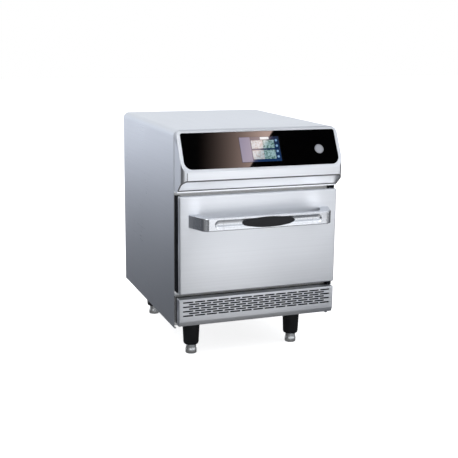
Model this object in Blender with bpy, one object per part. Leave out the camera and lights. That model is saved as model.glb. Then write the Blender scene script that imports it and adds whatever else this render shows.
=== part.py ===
"""Countertop speed oven, built as separate pieces in metres with +Z up.

The floor is Z = 0, the oven faces -Y, and the origin lies in the middle of the footprint.
Widths, depths and heights are stacked outwards from the cooking space, so a change of one
size moves every piece that sits on it.
"""
from math import atan2, cos, hypot, pi, radians, sin, sqrt

import bmesh
import bpy
from mathutils import Matrix, Vector

# Fits shared by all pieces
GAP = 0.0003
OVERRUN = 0.004
MERGE = 0.00001
SMOOTH_ANGLE = radians(35)
ARC_STEPS = 6
ROUND_STEPS = 20
SMALL_ROUND_STEPS = 10

# Cooking space and its liner
CAVITY_WIDTH = 0.330
CAVITY_DEPTH = 0.330
COOK_HEIGHT = 0.172
UPPER_PLENUM = 0.025
LOWER_PLENUM = 0.018
LINER_SHEET = 0.0012
JET_SHEET = 0.0012
JET_HOLE_RADIUS = 0.006
JET_MARGIN = 0.045
JET_COLUMNS = 5
JET_ROWS = 4
AIR_PORT_WIDTH = 0.050
AIR_PORT_HEIGHT = 0.011
AIR_PORT_PITCH = 0.070
AIR_PORT_COUNT = 4
SUCTION_RADIUS = 0.055
CATALYST_DEPTH = 0.011
CATALYST_CELL_RADIUS = 0.009
CATALYST_RING_RADIUS = 0.032
CATALYST_CELLS = 6

# Rack and its side rails
RAIL_WIDTH = 0.008
RAIL_HEIGHT = 0.006
RAIL_RISE = 0.030
RAIL_END_MARGIN = 0.020
RACK_ROD_RADIUS = 0.0026
RACK_SIDE_CLEARANCE = 0.003
RACK_END_CLEARANCE = 0.012
RACK_BARS = 11

# Insulation, ducts and electronics bays
INSULATION_SIDE = 0.026
INSULATION_TOP = 0.018
INSULATION_BOTTOM = 0.020
SIDE_DUCT = 0.0263
FAN_BOX_DEPTH = 0.060
FAN_BOX_SHEET = 0.001
MOTOR_LENGTH = 0.075
MOTOR_RADIUS = 0.044
MOTOR_FLANGE_RADIUS = 0.056
MOTOR_FLANGE = 0.006
REAR_SPACE = 0.0474

# Convection fan, its shaft and the heater round it
SHAFT_RADIUS = 0.005
SHAFT_IN_MOTOR = 0.040
SHAFT_HOLE_CLEARANCE = 0.002
IMPELLER_RADIUS = 0.078
IMPELLER_FRONT = 0.010
IMPELLER_BLADE_DEPTH = 0.032
IMPELLER_DISC = 0.002
IMPELLER_HUB_RADIUS = 0.013
IMPELLER_HUB_LENGTH = 0.020
IMPELLER_BLADES = 10
IMPELLER_BLADE_SHEET = 0.0016
IMPELLER_EYE_RADIUS = 0.042
IMPELLER_SWEEP = radians(24)
HEATER_CLEARANCE = 0.012
HEATER_TUBE_RADIUS = 0.0035
HEATER_OPENING = radians(36)
HEATER_POINTS = 22

# Microwave feed
GUIDE_WIDTH = 0.090
GUIDE_HEIGHT = 0.030
GUIDE_FORWARD = 0.045
GUIDE_BACKWARD = 0.120
GUIDE_SHEET = 0.0012
GUIDE_MOUTH_LENGTH = 0.056
GUIDE_MOUTH_WIDTH = 0.056
STIRRER_RADIUS = 0.050
STIRRER_HUB_RADIUS = 0.008
STIRRER_VANES = 4
STIRRER_VANE_WIDTH = 0.018
STIRRER_VANE_SHEET = 0.0015
STIRRER_CLEARANCE = 0.007
STIRRER_SHAFT_RADIUS = 0.003
STIRRER_HOLE_CLEARANCE = 0.003
STIRRER_MOTOR_RADIUS = 0.024
STIRRER_MOTOR_HEIGHT = 0.020
STIRRER_SHAFT_IN_MOTOR = 0.010
MAGNETRON_WIDTH = 0.080
MAGNETRON_DEPTH = 0.062
MAGNETRON_HEIGHT = 0.052
MAGNETRON_BACK = 0.010
MAGNETRON_FINS = 5
MAGNETRON_FIN_SLOT = 0.006
MAGNETRON_FIN_SLOT_DEPTH = 0.012
ANTENNA_RADIUS = 0.009
ANTENNA_LENGTH = 0.020
ANTENNA_CLEARANCE = 0.0015

# Supply and control parts
TRANSFORMER_WIDTH = 0.110
TRANSFORMER_DEPTH = 0.090
TRANSFORMER_HEADROOM = 0.012
TRANSFORMER_FOOT = 0.004
TRANSFORMER_FOOT_WIDTH = 0.012
TRANSFORMER_COIL_OUT = 0.010
TRANSFORMER_FROM_BACK = 0.030
CAPACITOR_WIDTH = 0.052
CAPACITOR_DEPTH = 0.032
CAPACITOR_HEIGHT = 0.085
CAPACITOR_TERMINAL = 0.007
CAPACITOR_TERMINAL_HEIGHT = 0.010
CAPACITOR_FROM_SIDE = 0.030
CAPACITOR_DEPTH_SHARE = 0.45
BOARD_WIDTH = 0.100
BOARD_DEPTH = 0.180
BOARD_SHEET = 0.0016
BOARD_STANDOFF = 0.010
BOARD_STANDOFF_RADIUS = 0.003
BOARD_EDGE = 0.006
BOARD_FROM_SIDE = 0.020
BOARD_DEPTH_SHARE = 0.55
RELAY_SIZE = 0.020
RELAY_HEIGHT = 0.016
RELAY_COUNT = 3
FAN_FRAME_HEADROOM = 0.0067
FAN_FRAME_DEPTH = 0.025
FAN_FRAME_WALL = 0.002
FAN_FRAME_BEHIND = 0.035
FAN_TIP_CLEARANCE = 0.0015
FAN_HUB_RADIUS = 0.015
FAN_HUB_BORE = 0.004
FAN_STRUT = 0.005
FAN_STRUT_DEPTH = 0.004
FAN_BLADES = 7
FAN_BLADE_SHEET = 0.0016
FAN_BLADE_CHORD = 0.018
FAN_BLADE_PITCH = radians(38)
FAN_HUB_LENGTH = 0.016

# Legs
LEG_SIDE_INSET = 0.0725
LEG_FRONT_INSET = 0.083
LEG_REAR_INSET = 0.064
FOOT_SHOW = 0.027
FOOT_ENGAGED = 0.030
FOOT_RADIUS = 0.0138
FOOT_RIM_RADIUS = 0.0153
FOOT_RIM_HEIGHT = 0.0130
FOOT_RIM_EDGE = 0.0020
SLEEVE_LENGTH = 0.0827
SLEEVE_TOP_RADIUS = 0.0246
SLEEVE_BOTTOM_RADIUS = 0.0205
SLEEVE_LIP = 0.003
SLEEVE_ABOVE_FOOT = 0.002

# Cabinet sheets
WRAPPER_SHEET = 0.0012
WRAPPER_RADIUS = 0.017
WRAPPER_HEM = 0.006
WRAPPER_DROP = 0.008
PAN_SHEET = 0.0015
PAN_FLANGE = 0.015
FRAME_SHEET = 0.0015
SHELF_SHEET = 0.0012
SHELF_FLANGE = 0.010
BACK_SHEET = 0.001
BACK_INSET = 0.003
VENT_LENGTH = 0.055
VENT_HEIGHT = 0.004
VENT_PITCH_X = 0.075
VENT_PITCH_Z = 0.010
VENT_COLUMNS = 4
VENT_ROWS = 6
VENT_FROM_TOP = 0.045
GLAND_RADIUS = 0.011
GLAND_NUT_RADIUS = 0.014
GLAND_BORE_RADIUS = 0.005
GLAND_INSIDE = 0.010
GLAND_RISE = 0.045
GLAND_FROM_SIDE = 0.060
INLET_MARGIN_X = 0.030
INLET_MARGIN_Z = 0.011
WIRING_HOLE_WIDTH = 0.050
WIRING_HOLE_HEIGHT = 0.030
WIRING_HOLE_FROM_TOP = 0.060

# Lower grille panel and the air filter behind it
GRILLE_RISE = 0.0133
GRILLE_HEIGHT = 0.0722
GRILLE_SIDE_INSET = 0.003
GRILLE_DEPTH = 0.020
GRILLE_SHEET = 0.0012
GRILLE_FOLD_HEIGHT = 0.0125
GRILLE_FOLD_BACK = 0.005
SLOT_LENGTH = 0.0282
SLOT_HEIGHT = 0.0031
SLOT_ROW_PITCH = 0.00593
SLOT_ROWS = 7
SLOT_COLUMNS = 13
SLOT_END_MARGIN = 0.0098
SLOT_FROM_TOP = 0.0080
FILTER_RIM = 0.010
FILTER_WEB = 0.002
FILTER_OVERLAP = 0.0015
FILTER_BEHIND = 0.0150

# Door
DOOR_GAP_BELOW = 0.014
DOOR_GAP_ABOVE = 0.0096
DOOR_SIDE_INSET = 0.0035
MOUTH_TO_DOOR_BOTTOM = 0.0345
MOUTH_TO_DOOR_TOP = 0.0465
SKIN_SHEET = 0.0012
SKIN_DEPTH = 0.014
SKIN_EDGE = 0.0025
SKIN_EDGE_STEPS = 2
TRAY_SHEET = 0.002
TRAY_DEPTH = 0.0157
TRAY_SIDE_INSET = 0.0125
TRAY_END_INSET = 0.003
PANEL_THICKNESS = 0.0027
PANEL_INSET = 0.002
PLUG_REACH = 0.008
PLUG_SHEET = 0.0015
PLUG_CLEARANCE = 0.004
GASKET_THICKNESS = 0.0044
GASKET_WIDTH = 0.012
GASKET_FROM_MOUTH = 0.006
HINGE_BACK = 0.007
HINGE_RISE = 0.0065
PIN_RADIUS = 0.003
PIN_LENGTH = 0.009
PIN_CLEARANCE = 0.0003
BRACKET_SHEET = 0.003
BRACKET_RADIUS = 0.005
BRACKET_FROM_SKIN = 0.0043
BRACKET_FOOT_HEIGHT = 0.022
BRACKET_FOOT_SHEET = 0.003
BRACKET_FOOT_WIDTH = 0.0064
BRACKET_NOTCH_CLEARANCE = 0.001

# Black columns beside the door
COLUMN_WIDTH = 0.012
COLUMN_CLEARANCE = 0.0015
COLUMN_PAD_HEIGHT = 0.010
COLUMN_PAD_DEPTH = 0.006
COLUMN_PAD_OUT = 0.0009
COLUMN_PAD_SHARES = (0.35, 0.55, 0.75)

# Door handle
HANDLE_REACH = 0.061
HANDLE_HEIGHT = 0.0335
HANDLE_DEPTH = 0.015
HANDLE_RISE = 0.1900
HANDLE_HALF_LENGTH = 0.172
HANDLE_CORNER = 0.014
HANDLE_EDGE = 0.0025
HANDLE_EDGE_STEPS = 2
ARM_LENGTH = 0.0515
ARM_FLARE = 0.021
ARM_FOOT = 0.0255
ARM_THICKNESS = 0.019
ARM_CROTCH = 0.012
SCOOP_FROM_END = 0.027
SCOOP_DEPTH = 0.0045
SCOOP_RADIUS = 0.0172
INSERT_HALF_LENGTH = 0.0708
INSERT_HALF_HEIGHT = 0.0131
INSERT_DEPTH = 0.0052
INSERT_INSET = 0.0005
INSERT_STEPS = 28

# Header with the control glass
HEADER_HEIGHT = 0.1529
HEADER_SIDE_INSET = 0.001
HEADER_SHEET = 0.0015
HEADER_OVERHANG = 0.065
HEADER_UNDER_REACH = 0.0297
HEADER_TOP_REACH = 0.0136
HEADER_LIP = 0.004
HEADER_LIP_STEP = 0.0015
HEADER_BEVEL_HEIGHT = 0.028
HEADER_BAND_HEIGHT = 0.022
HEADER_TOP_RADIUS = 0.008
HEADER_CORNER = 0.0155
GLASS_SIDE_MARGIN = 0.009
GLASS_BOTTOM_MARGIN = 0.0073
GLASS_LENGTH = 0.0957
GLASS_THICKNESS = 0.004
GLASS_TOP_CORNER = 0.006
GLASS_BOTTOM_CORNER = 0.016
PLATE_OVERLAP = 0.004
PLATE_BEHIND_GLASS = 0.002
DISPLAY_WIDTH = 0.1075
DISPLAY_HEIGHT = 0.066
DISPLAY_THICKNESS = 0.008
DISPLAY_SHIFT = -0.0035
DISPLAY_RISE = 0.0545
DRIVER_BOARD_WIDTH = 0.130
DRIVER_BOARD_HEIGHT = 0.078
DRIVER_CHIP = 0.016
DRIVER_CHIP_HEIGHT = 0.003
BUTTON_FROM_EDGE = 0.0510
BUTTON_RISE = 0.0495
BUTTON_RING_RADIUS = 0.01225
BUTTON_RING_WALL = 0.0018
BUTTON_RING_PROUD = 0.001
BUTTON_CAP_THICKNESS = 0.0017
BUTTON_CAP_PROUD = 0.0006
BUTTON_STEM_RADIUS = 0.005
BUTTON_STEM_CLEARANCE = 0.001
BUTTON_STEM_BEHIND = 0.003

# Colour, roughness and metallic value of each finish
STAINLESS = ((0.62, 0.64, 0.67), 0.34, 1.0)
INNER_STEEL = ((0.50, 0.51, 0.52), 0.42, 1.0)
GALVANISED = ((0.55, 0.57, 0.58), 0.50, 0.9)
POLISHED = ((0.70, 0.72, 0.75), 0.16, 1.0)
BLACK_PLASTIC = ((0.012, 0.013, 0.014), 0.55, 0.0)
BLACK_GLASS = ((0.004, 0.004, 0.005), 0.06, 0.0)
SCREEN_BLUE = ((0.020, 0.080, 0.200), 0.20, 0.0)
BOARD_GREEN = ((0.020, 0.160, 0.060), 0.60, 0.0)
SEAL_GREY = ((0.090, 0.090, 0.095), 0.80, 0.0)
WOOL = ((0.620, 0.560, 0.420), 0.95, 0.0)
DARK_STEEL = ((0.120, 0.120, 0.130), 0.50, 0.8)
CERAMIC = ((0.500, 0.440, 0.360), 0.90, 0.0)

# Widths worked out from the cooking space outwards
cavity_half = CAVITY_WIDTH / 2
liner_half = cavity_half + LINER_SHEET
insulation_half = liner_half + GAP + INSULATION_SIDE
inner_half = insulation_half + SIDE_DUCT
oven_half = inner_half + WRAPPER_SHEET
panel_half = inner_half - GAP

# Depths: the door's layers ahead of the wrapper's front edge, the cabinet behind it
door_reach = (GAP + GASKET_THICKNESS + GAP + PANEL_THICKNESS + GAP + TRAY_DEPTH + GAP
              + SKIN_DEPTH)
oven_depth = (FRAME_SHEET + GAP + CAVITY_DEPTH + LINER_SHEET + GAP + FAN_BOX_DEPTH + GAP
              + MOTOR_LENGTH + REAR_SPACE + BACK_SHEET + BACK_INSET)
front_y = (door_reach + HANDLE_REACH - oven_depth) / 2
back_y = front_y + oven_depth
liner_front_y = front_y + FRAME_SHEET + GAP
liner_back_y = liner_front_y + CAVITY_DEPTH + LINER_SHEET
fan_box_front_y = liner_back_y + GAP
fan_box_back_y = fan_box_front_y + FAN_BOX_DEPTH
motor_front_y = fan_box_back_y + GAP
back_panel_out_y = back_y - BACK_INSET
back_panel_in_y = back_panel_out_y - BACK_SHEET
cavity_middle_y = liner_front_y + CAVITY_DEPTH / 2
gasket_front_y = front_y - GAP - GASKET_THICKNESS
door_panel_back_y = gasket_front_y - GAP
door_panel_front_y = door_panel_back_y - PANEL_THICKNESS
tray_back_y = door_panel_front_y - GAP
tray_front_y = tray_back_y - TRAY_DEPTH
skin_back_y = tray_front_y - GAP
skin_front_y = skin_back_y - SKIN_DEPTH

# Heights from the floor upwards
sleeve_top_z = FOOT_SHOW + SLEEVE_LENGTH
base_bottom_z = sleeve_top_z + GAP
base_top_z = base_bottom_z + PAN_SHEET
wrapper_bottom_z = base_bottom_z - WRAPPER_DROP
grille_bottom_z = wrapper_bottom_z + GRILLE_RISE
grille_top_z = grille_bottom_z + GRILLE_HEIGHT
door_bottom_z = grille_top_z + DOOR_GAP_BELOW
mouth_bottom_z = door_bottom_z + MOUTH_TO_DOOR_BOTTOM
mouth_top_z = mouth_bottom_z + COOK_HEIGHT
door_top_z = mouth_top_z + MOUTH_TO_DOOR_TOP
header_bottom_z = door_top_z + DOOR_GAP_ABOVE
oven_top_z = header_bottom_z + HEADER_HEIGHT
liner_floor_z = mouth_bottom_z - LOWER_PLENUM
liner_roof_z = mouth_top_z + UPPER_PLENUM
liner_low_z = liner_floor_z - LINER_SHEET
liner_high_z = liner_roof_z + LINER_SHEET
insulation_low_z = liner_low_z - GAP - INSULATION_BOTTOM
insulation_high_z = liner_high_z + GAP + INSULATION_TOP
shelf_bottom_z = insulation_high_z + GAP
shelf_top_z = shelf_bottom_z + SHELF_SHEET
guide_bottom_z = shelf_top_z + GAP
guide_top_z = guide_bottom_z + GUIDE_HEIGHT
rail_bottom_z = mouth_bottom_z + RAIL_RISE
rail_top_z = rail_bottom_z + RAIL_HEIGHT
blower_z = (liner_floor_z + liner_roof_z) / 2

# Door hinge axis
hinge_y = skin_front_y + HINGE_BACK
hinge_z = door_bottom_z + HINGE_RISE

DOOR_PIECES = ("door_skin", "door_inner_tray", "door_insulation", "door_inner_panel", "door_gasket",
               "handle_bar", "handle_arm_left", "handle_arm_right", "handle_insert", "hinge_pin_left",
               "hinge_pin_right")
DOOR_CUTTERS = ("hinge_notches", "door_plug", "plug_recess", "gasket_opening", "handle_scoop",
                "insert_pocket")


def clear_scene():
    """Start from an empty scene."""
    for old in list(bpy.data.objects):
        bpy.data.objects.remove(old)


def make_look(name, look):
    """Give one piece a material of its own from a finish."""
    colour, roughness, metallic = look
    material = bpy.data.materials.new(name)
    material.use_nodes = True
    shader = material.node_tree.nodes["Principled BSDF"]
    shader.inputs["Base Color"].default_value = (*colour, 1.0)
    shader.inputs["Roughness"].default_value = roughness
    shader.inputs["Metallic"].default_value = metallic
    material.diffuse_color = (*colour, 1.0)
    return material


def link_mesh(name, bm):
    """Turn a bmesh into an object with its faces pointing out."""
    bmesh.ops.remove_doubles(bm, verts=bm.verts[:], dist=MERGE)
    bmesh.ops.recalc_face_normals(bm, faces=bm.faces[:])
    mesh = bpy.data.meshes.new(name)
    bm.to_mesh(mesh)
    bm.free()
    mesh.shade_smooth()
    mesh.set_sharp_from_angle(angle=SMOOTH_ANGLE)
    piece = bpy.data.objects.new(name, mesh)
    bpy.context.scene.collection.objects.link(piece)
    return piece


def make_piece(name, bm, look, parent=None, at=None):
    """Make one node of the oven."""
    piece = link_mesh(name, bm)
    piece.data.materials.append(make_look(name, look))
    place(piece, parent, at)
    return piece


def place(piece, parent, at):
    """Set where a piece stands and what carries it."""
    if at is not None:
        piece.location = at
    if parent is not None:
        piece.parent = parent


def make_cutter(name, bm, parent=None, at=None):
    """Make a guide solid that only shapes other pieces."""
    cutter = link_mesh(name, bm)
    cutter.hide_render = True
    cutter.display_type = "WIRE"
    place(cutter, parent, at)
    return cutter


def shape_with(piece, cutter, operation="DIFFERENCE"):
    """Cut, join or intersect a piece with another solid."""
    modifier = piece.modifiers.new(cutter.name, "BOOLEAN")
    modifier.operation = operation
    modifier.object = cutter


def thicken(piece, sheet):
    """Give an open surface the thickness of its sheet, inwards."""
    modifier = piece.modifiers.new("Sheet", "SOLIDIFY")
    modifier.thickness = sheet
    modifier.offset = -1.0
    modifier.use_even_offset = True


def soften(piece, width, steps):
    """Round a piece's sharp edges."""
    modifier = piece.modifiers.new("Edges", "BEVEL")
    modifier.width = width
    modifier.segments = steps
    modifier.limit_method = "ANGLE"
    modifier.angle_limit = SMOOTH_ANGLE


def add_box(bm, low, high):
    """Add a box between two corners."""
    low = Vector(low)
    high = Vector(high)
    matrix = Matrix.Translation((low + high) / 2) @ Matrix.Diagonal((*(high - low), 1))
    return bmesh.ops.create_cube(bm, size=1, matrix=matrix)["verts"]


def add_bar(bm, half_width, low_y, high_y, low_z, high_z):
    """Add a box that is centred across the oven."""
    add_box(bm, (-half_width, low_y, low_z), (half_width, high_y, high_z))


def box_mesh(low, high):
    """A new mesh that holds one box."""
    bm = bmesh.new()
    add_box(bm, low, high)
    return bm


def on_axis(axis, along, across):
    """A point at a distance along an axis and at a place across it."""
    first, second = across
    if axis == "X":
        return Vector((along, first, second))
    if axis == "Y":
        return Vector((first, along, second))
    return Vector((first, second, along))


def add_prism(bm, outline, axis, start, end):
    """Extrude a closed outline from start to end along an axis."""
    near = [bm.verts.new(on_axis(axis, start, point)) for point in outline]
    far = [bm.verts.new(on_axis(axis, end, point)) for point in outline]
    bm.faces.new(near)
    bm.faces.new(list(reversed(far)))
    for index in range(len(outline)):
        after = (index + 1) % len(outline)
        bm.faces.new((near[index], near[after], far[after], far[index]))


def prism_mesh(outline, axis, start, end):
    """A new mesh that holds one prism."""
    bm = bmesh.new()
    add_prism(bm, outline, axis, start, end)
    return bm


def add_turned(bm, profile, steps, matrix=None, closed=False):
    """Turn a (radius, height) profile about Z, then place it by a matrix."""
    verts = [bm.verts.new((radius, 0, height)) for radius, height in profile]
    edges = [bm.edges.new(pair) for pair in zip(verts, verts[1:])]
    if closed:
        edges.append(bm.edges.new((verts[-1], verts[0])))
    bmesh.ops.spin(bm, geom=verts + edges, cent=(0, 0, 0), axis=(0, 0, 1), angle=2 * pi,
                   steps=steps, use_duplicate=False)
    bmesh.ops.remove_doubles(bm, verts=bm.verts[:], dist=MERGE)
    if matrix is not None:
        bmesh.ops.transform(bm, matrix=matrix, verts=bm.verts[:])


def turned_mesh(profile, steps, matrix=None, closed=False):
    """A new mesh that holds one turned shape."""
    bm = bmesh.new()
    add_turned(bm, profile, steps, matrix, closed)
    return bm


def rod_profile(radius, low, high):
    """The profile of a plain rod with flat ends."""
    return ((0, low), (radius, low), (radius, high), (0, high))


def along_y(x, y, z):
    """Stand a shape turned about Z along +Y at a point."""
    return Matrix.Translation((x, y, z)) @ Matrix.Rotation(-pi / 2, 4, "X")


def along_x(x, y, z):
    """Stand a shape turned about Z along +X at a point."""
    return Matrix.Translation((x, y, z)) @ Matrix.Rotation(pi / 2, 4, "Y")


def arc(centre, radius, start, end, steps):
    """Points of an arc in a plane, from one angle to another."""
    points = []
    for index in range(steps + 1):
        angle = start + (end - start) * index / steps
        points.append((centre[0] + radius * cos(angle), centre[1] + radius * sin(angle)))
    return points


def cabinet_outline(inset, bottom):
    """The cabinet's front outline, inset from the wrapper's outside, with round shoulders."""
    half = oven_half - inset
    top = oven_top_z - inset
    radius = WRAPPER_RADIUS - inset
    points = [(half, bottom)]
    points += arc((half - radius, top - radius), radius, 0, pi / 2, ARC_STEPS)
    points += arc((radius - half, top - radius), radius, pi / 2, pi, ARC_STEPS)
    points.append((-half, bottom))
    return points


def rounded_outline(half_width, low, high, low_radius, high_radius):
    """A rectangle about the middle line with unlike corner radii below and above."""
    points = arc((half_width - high_radius, high - high_radius), high_radius, 0, pi / 2, ARC_STEPS)
    points += arc((high_radius - half_width, high - high_radius), high_radius, pi / 2, pi, ARC_STEPS)
    points += arc((low_radius - half_width, low + low_radius), low_radius, pi, 3 * pi / 2, ARC_STEPS)
    points += arc((half_width - low_radius, low + low_radius), low_radius, -pi / 2, 0, ARC_STEPS)
    return points


def ellipse_outline(half_length, half_height, middle, steps):
    """An ellipse about the middle line."""
    points = []
    for index in range(steps):
        angle = 2 * pi * index / steps
        points.append((half_length * cos(angle), middle + half_height * sin(angle)))
    return points


def offset_path(points, distance):
    """Move an open path sideways by a distance, with its corners mitred."""
    normals = []
    for (ay, az), (by, bz) in zip(points, points[1:]):
        length = hypot(by - ay, bz - az)
        normals.append(((az - bz) / length, (by - ay) / length))
    moved = []
    for index, (py, pz) in enumerate(points):
        before = normals[max(index - 1, 0)]
        after = normals[min(index, len(normals) - 1)]
        scale = distance / (1 + before[0] * after[0] + before[1] * after[1])
        moved.append((py + (before[0] + after[0]) * scale, pz + (before[1] + after[1]) * scale))
    return moved


def spread(count, pitch):
    """Places of a row of like features about the middle."""
    return [(index - (count - 1) / 2) * pitch for index in range(count)]


def open_box(low, high, open_axis, open_sign, lip=0.0):
    """A box surface without the side that faces one way, and with an inward lip if asked."""
    bm = box_mesh(low, high)
    bm.normal_update()
    for face in list(bm.faces):
        if face.normal[open_axis] * open_sign > cos(SMOOTH_ANGLE):
            if lip:
                bmesh.ops.inset_individual(bm, faces=[face], thickness=lip)
            bmesh.ops.delete(bm, geom=[face], context="FACES_ONLY")
            break
    return bm


def build_wrapper():
    """Top and both sides of the cabinet, folded from one sheet."""
    outline = cabinet_outline(0, wrapper_bottom_z)
    outline = [(oven_half - WRAPPER_HEM, wrapper_bottom_z)] + outline
    outline = outline + [(WRAPPER_HEM - oven_half, wrapper_bottom_z)]
    bm = bmesh.new()
    front = [bm.verts.new((x, front_y, z)) for x, z in outline]
    back = [bm.verts.new((x, back_y, z)) for x, z in outline]
    for index in range(len(outline) - 1):
        bm.faces.new((front[index], back[index], back[index + 1], front[index + 1]))
    bmesh.ops.reverse_faces(bm, faces=bm.faces[:])
    bm.normal_update()
    piece = make_open_piece("outer_wrapper", bm, STAINLESS, Vector((0, 0, 1)))
    thicken(piece, WRAPPER_SHEET)


def make_open_piece(name, bm, look, outward):
    """Make a node from an open surface, with the face furthest along a way pointing out."""
    bmesh.ops.remove_doubles(bm, verts=bm.verts[:], dist=MERGE)
    bm.normal_update()
    top = max(bm.faces, key=lambda face: face.calc_center_median().dot(outward))
    if top.normal.dot(outward) < 0:
        bmesh.ops.reverse_faces(bm, faces=bm.faces[:])
    mesh = bpy.data.meshes.new(name)
    bm.to_mesh(mesh)
    bm.free()
    mesh.shade_smooth()
    mesh.set_sharp_from_angle(angle=SMOOTH_ANGLE)
    mesh.materials.append(make_look(name, look))
    piece = bpy.data.objects.new(name, mesh)
    bpy.context.scene.collection.objects.link(piece)
    return piece


def build_base():
    """Base pan that the legs bolt to."""
    low = (-panel_half, liner_front_y, base_bottom_z)
    high = (panel_half, back_panel_in_y - GAP, base_bottom_z + PAN_FLANGE)
    bm = open_box(low, high, 2, 1)
    piece = make_open_piece("base_pan", bm, GALVANISED, Vector((0, 0, -1)))
    thicken(piece, PAN_SHEET)


def build_front_frame():
    """Front plate with the oven's mouth, the air inlet and a hole for wires."""
    outline = cabinet_outline(WRAPPER_SHEET + GAP, base_bottom_z)
    bm = prism_mesh(outline, "Y", front_y, front_y + FRAME_SHEET)
    piece = make_piece("front_frame", bm, STAINLESS)
    holes = bmesh.new()
    low_y = front_y - OVERRUN
    high_y = front_y + FRAME_SHEET + OVERRUN
    add_bar(holes, cavity_half, low_y, high_y, mouth_bottom_z, mouth_top_z)
    add_bar(holes, oven_half - INLET_MARGIN_X, low_y, high_y,
            grille_bottom_z + INLET_MARGIN_Z, grille_top_z - INLET_MARGIN_Z)
    wiring_z = oven_top_z - WIRING_HOLE_FROM_TOP
    add_bar(holes, WIRING_HOLE_WIDTH / 2, low_y, high_y, wiring_z - WIRING_HOLE_HEIGHT, wiring_z)
    shape_with(piece, make_cutter("frame_holes", holes))


def build_back_panel():
    """Rear sheet with its air vents, and the gland that the supply cord would use."""
    outline = cabinet_outline(WRAPPER_SHEET + GAP, base_bottom_z)
    bm = prism_mesh(outline, "Y", back_panel_in_y, back_panel_out_y)
    piece = make_piece("back_panel", bm, GALVANISED)
    holes = bmesh.new()
    low_y = back_panel_in_y - OVERRUN
    high_y = back_panel_out_y + OVERRUN
    first_z = oven_top_z - VENT_FROM_TOP
    for x in spread(VENT_COLUMNS, VENT_PITCH_X):
        for row in range(VENT_ROWS):
            z = first_z - row * VENT_PITCH_Z
            add_box(holes, (x - VENT_LENGTH / 2, low_y, z - VENT_HEIGHT),
                    (x + VENT_LENGTH / 2, high_y, z))
    gland_x = oven_half - GLAND_FROM_SIDE
    gland_z = base_top_z + GLAND_RISE
    hole = turned_mesh(rod_profile(GLAND_RADIUS + GAP, low_y, high_y), ROUND_STEPS,
                       along_y(gland_x, 0, gland_z))
    shape_with(piece, make_cutter("vent_holes", holes))
    shape_with(piece, make_cutter("gland_hole", hole))
    nut_back = BACK_SHEET + GAP
    profile = ((GLAND_BORE_RADIUS, -GLAND_INSIDE), (GLAND_RADIUS, -GLAND_INSIDE),
               (GLAND_RADIUS, nut_back), (GLAND_NUT_RADIUS, nut_back),
               (GLAND_NUT_RADIUS, BACK_SHEET + BACK_INSET), (GLAND_BORE_RADIUS, BACK_SHEET + BACK_INSET))
    gland = turned_mesh(profile, ROUND_STEPS, along_y(gland_x, back_panel_in_y, gland_z), closed=True)
    make_piece("cable_gland", gland, BLACK_PLASTIC)


def build_shelf():
    """Chassis shelf over the insulation, which carries the microwave and control parts."""
    low = (-panel_half, liner_front_y, shelf_bottom_z)
    high = (panel_half, back_panel_in_y - GAP, shelf_bottom_z + SHELF_FLANGE)
    bm = open_box(low, high, 2, 1)
    piece = make_open_piece("service_shelf", bm, GALVANISED, Vector((0, 0, -1)))
    thicken(piece, SHELF_SHEET)
    hole = box_mesh((-GUIDE_MOUTH_WIDTH / 2, cavity_middle_y - GUIDE_MOUTH_LENGTH / 2,
                     liner_high_z - OVERRUN),
                    (GUIDE_MOUTH_WIDTH / 2, cavity_middle_y + GUIDE_MOUTH_LENGTH / 2,
                     guide_bottom_z + GUIDE_SHEET + OVERRUN))
    return piece, make_cutter("microwave_mouth", hole)


def build_cavity(mouth_cutter, shelf):
    """Liner, insulation and jet plates of the cooking space."""
    shape_with(shelf, mouth_cutter)
    low = (-liner_half, liner_front_y, liner_low_z)
    high = (liner_half, liner_back_y, liner_high_z)
    liner = make_open_piece("cavity_liner", open_box(low, high, 1, -1), INNER_STEEL,
                            Vector((0, 0, 1)))
    thicken(liner, LINER_SHEET)
    ports = bmesh.new()
    for x in spread(AIR_PORT_COUNT, AIR_PORT_PITCH):
        for middle in (liner_floor_z + LOWER_PLENUM / 2, liner_roof_z - UPPER_PLENUM / 2):
            add_box(ports, (x - AIR_PORT_WIDTH / 2, liner_back_y - LINER_SHEET - OVERRUN,
                            middle - AIR_PORT_HEIGHT / 2),
                    (x + AIR_PORT_WIDTH / 2, liner_back_y + OVERRUN, middle + AIR_PORT_HEIGHT / 2))
    shape_with(liner, make_cutter("air_ports", ports))
    suction = turned_mesh(rod_profile(SUCTION_RADIUS, -LINER_SHEET - OVERRUN, OVERRUN), ROUND_STEPS,
                          along_y(0, liner_back_y, blower_z))
    shape_with(liner, make_cutter("suction_hole", suction))
    shape_with(liner, mouth_cutter)

    jacket = box_mesh((-insulation_half, liner_front_y, insulation_low_z),
                      (insulation_half, liner_back_y, insulation_high_z))
    jacket = make_piece("insulation_jacket", jacket, WOOL)
    core = box_mesh((-liner_half - GAP, liner_front_y - OVERRUN, liner_low_z - GAP),
                    (liner_half + GAP, liner_back_y + OVERRUN, liner_high_z + GAP))
    shape_with(jacket, make_cutter("jacket_core", core))
    shape_with(jacket, mouth_cutter)

    build_jet_plate("upper_jet_plate", mouth_top_z + GAP)
    build_jet_plate("lower_jet_plate", mouth_bottom_z - GAP - JET_SHEET)
    build_catalyst()


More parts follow.
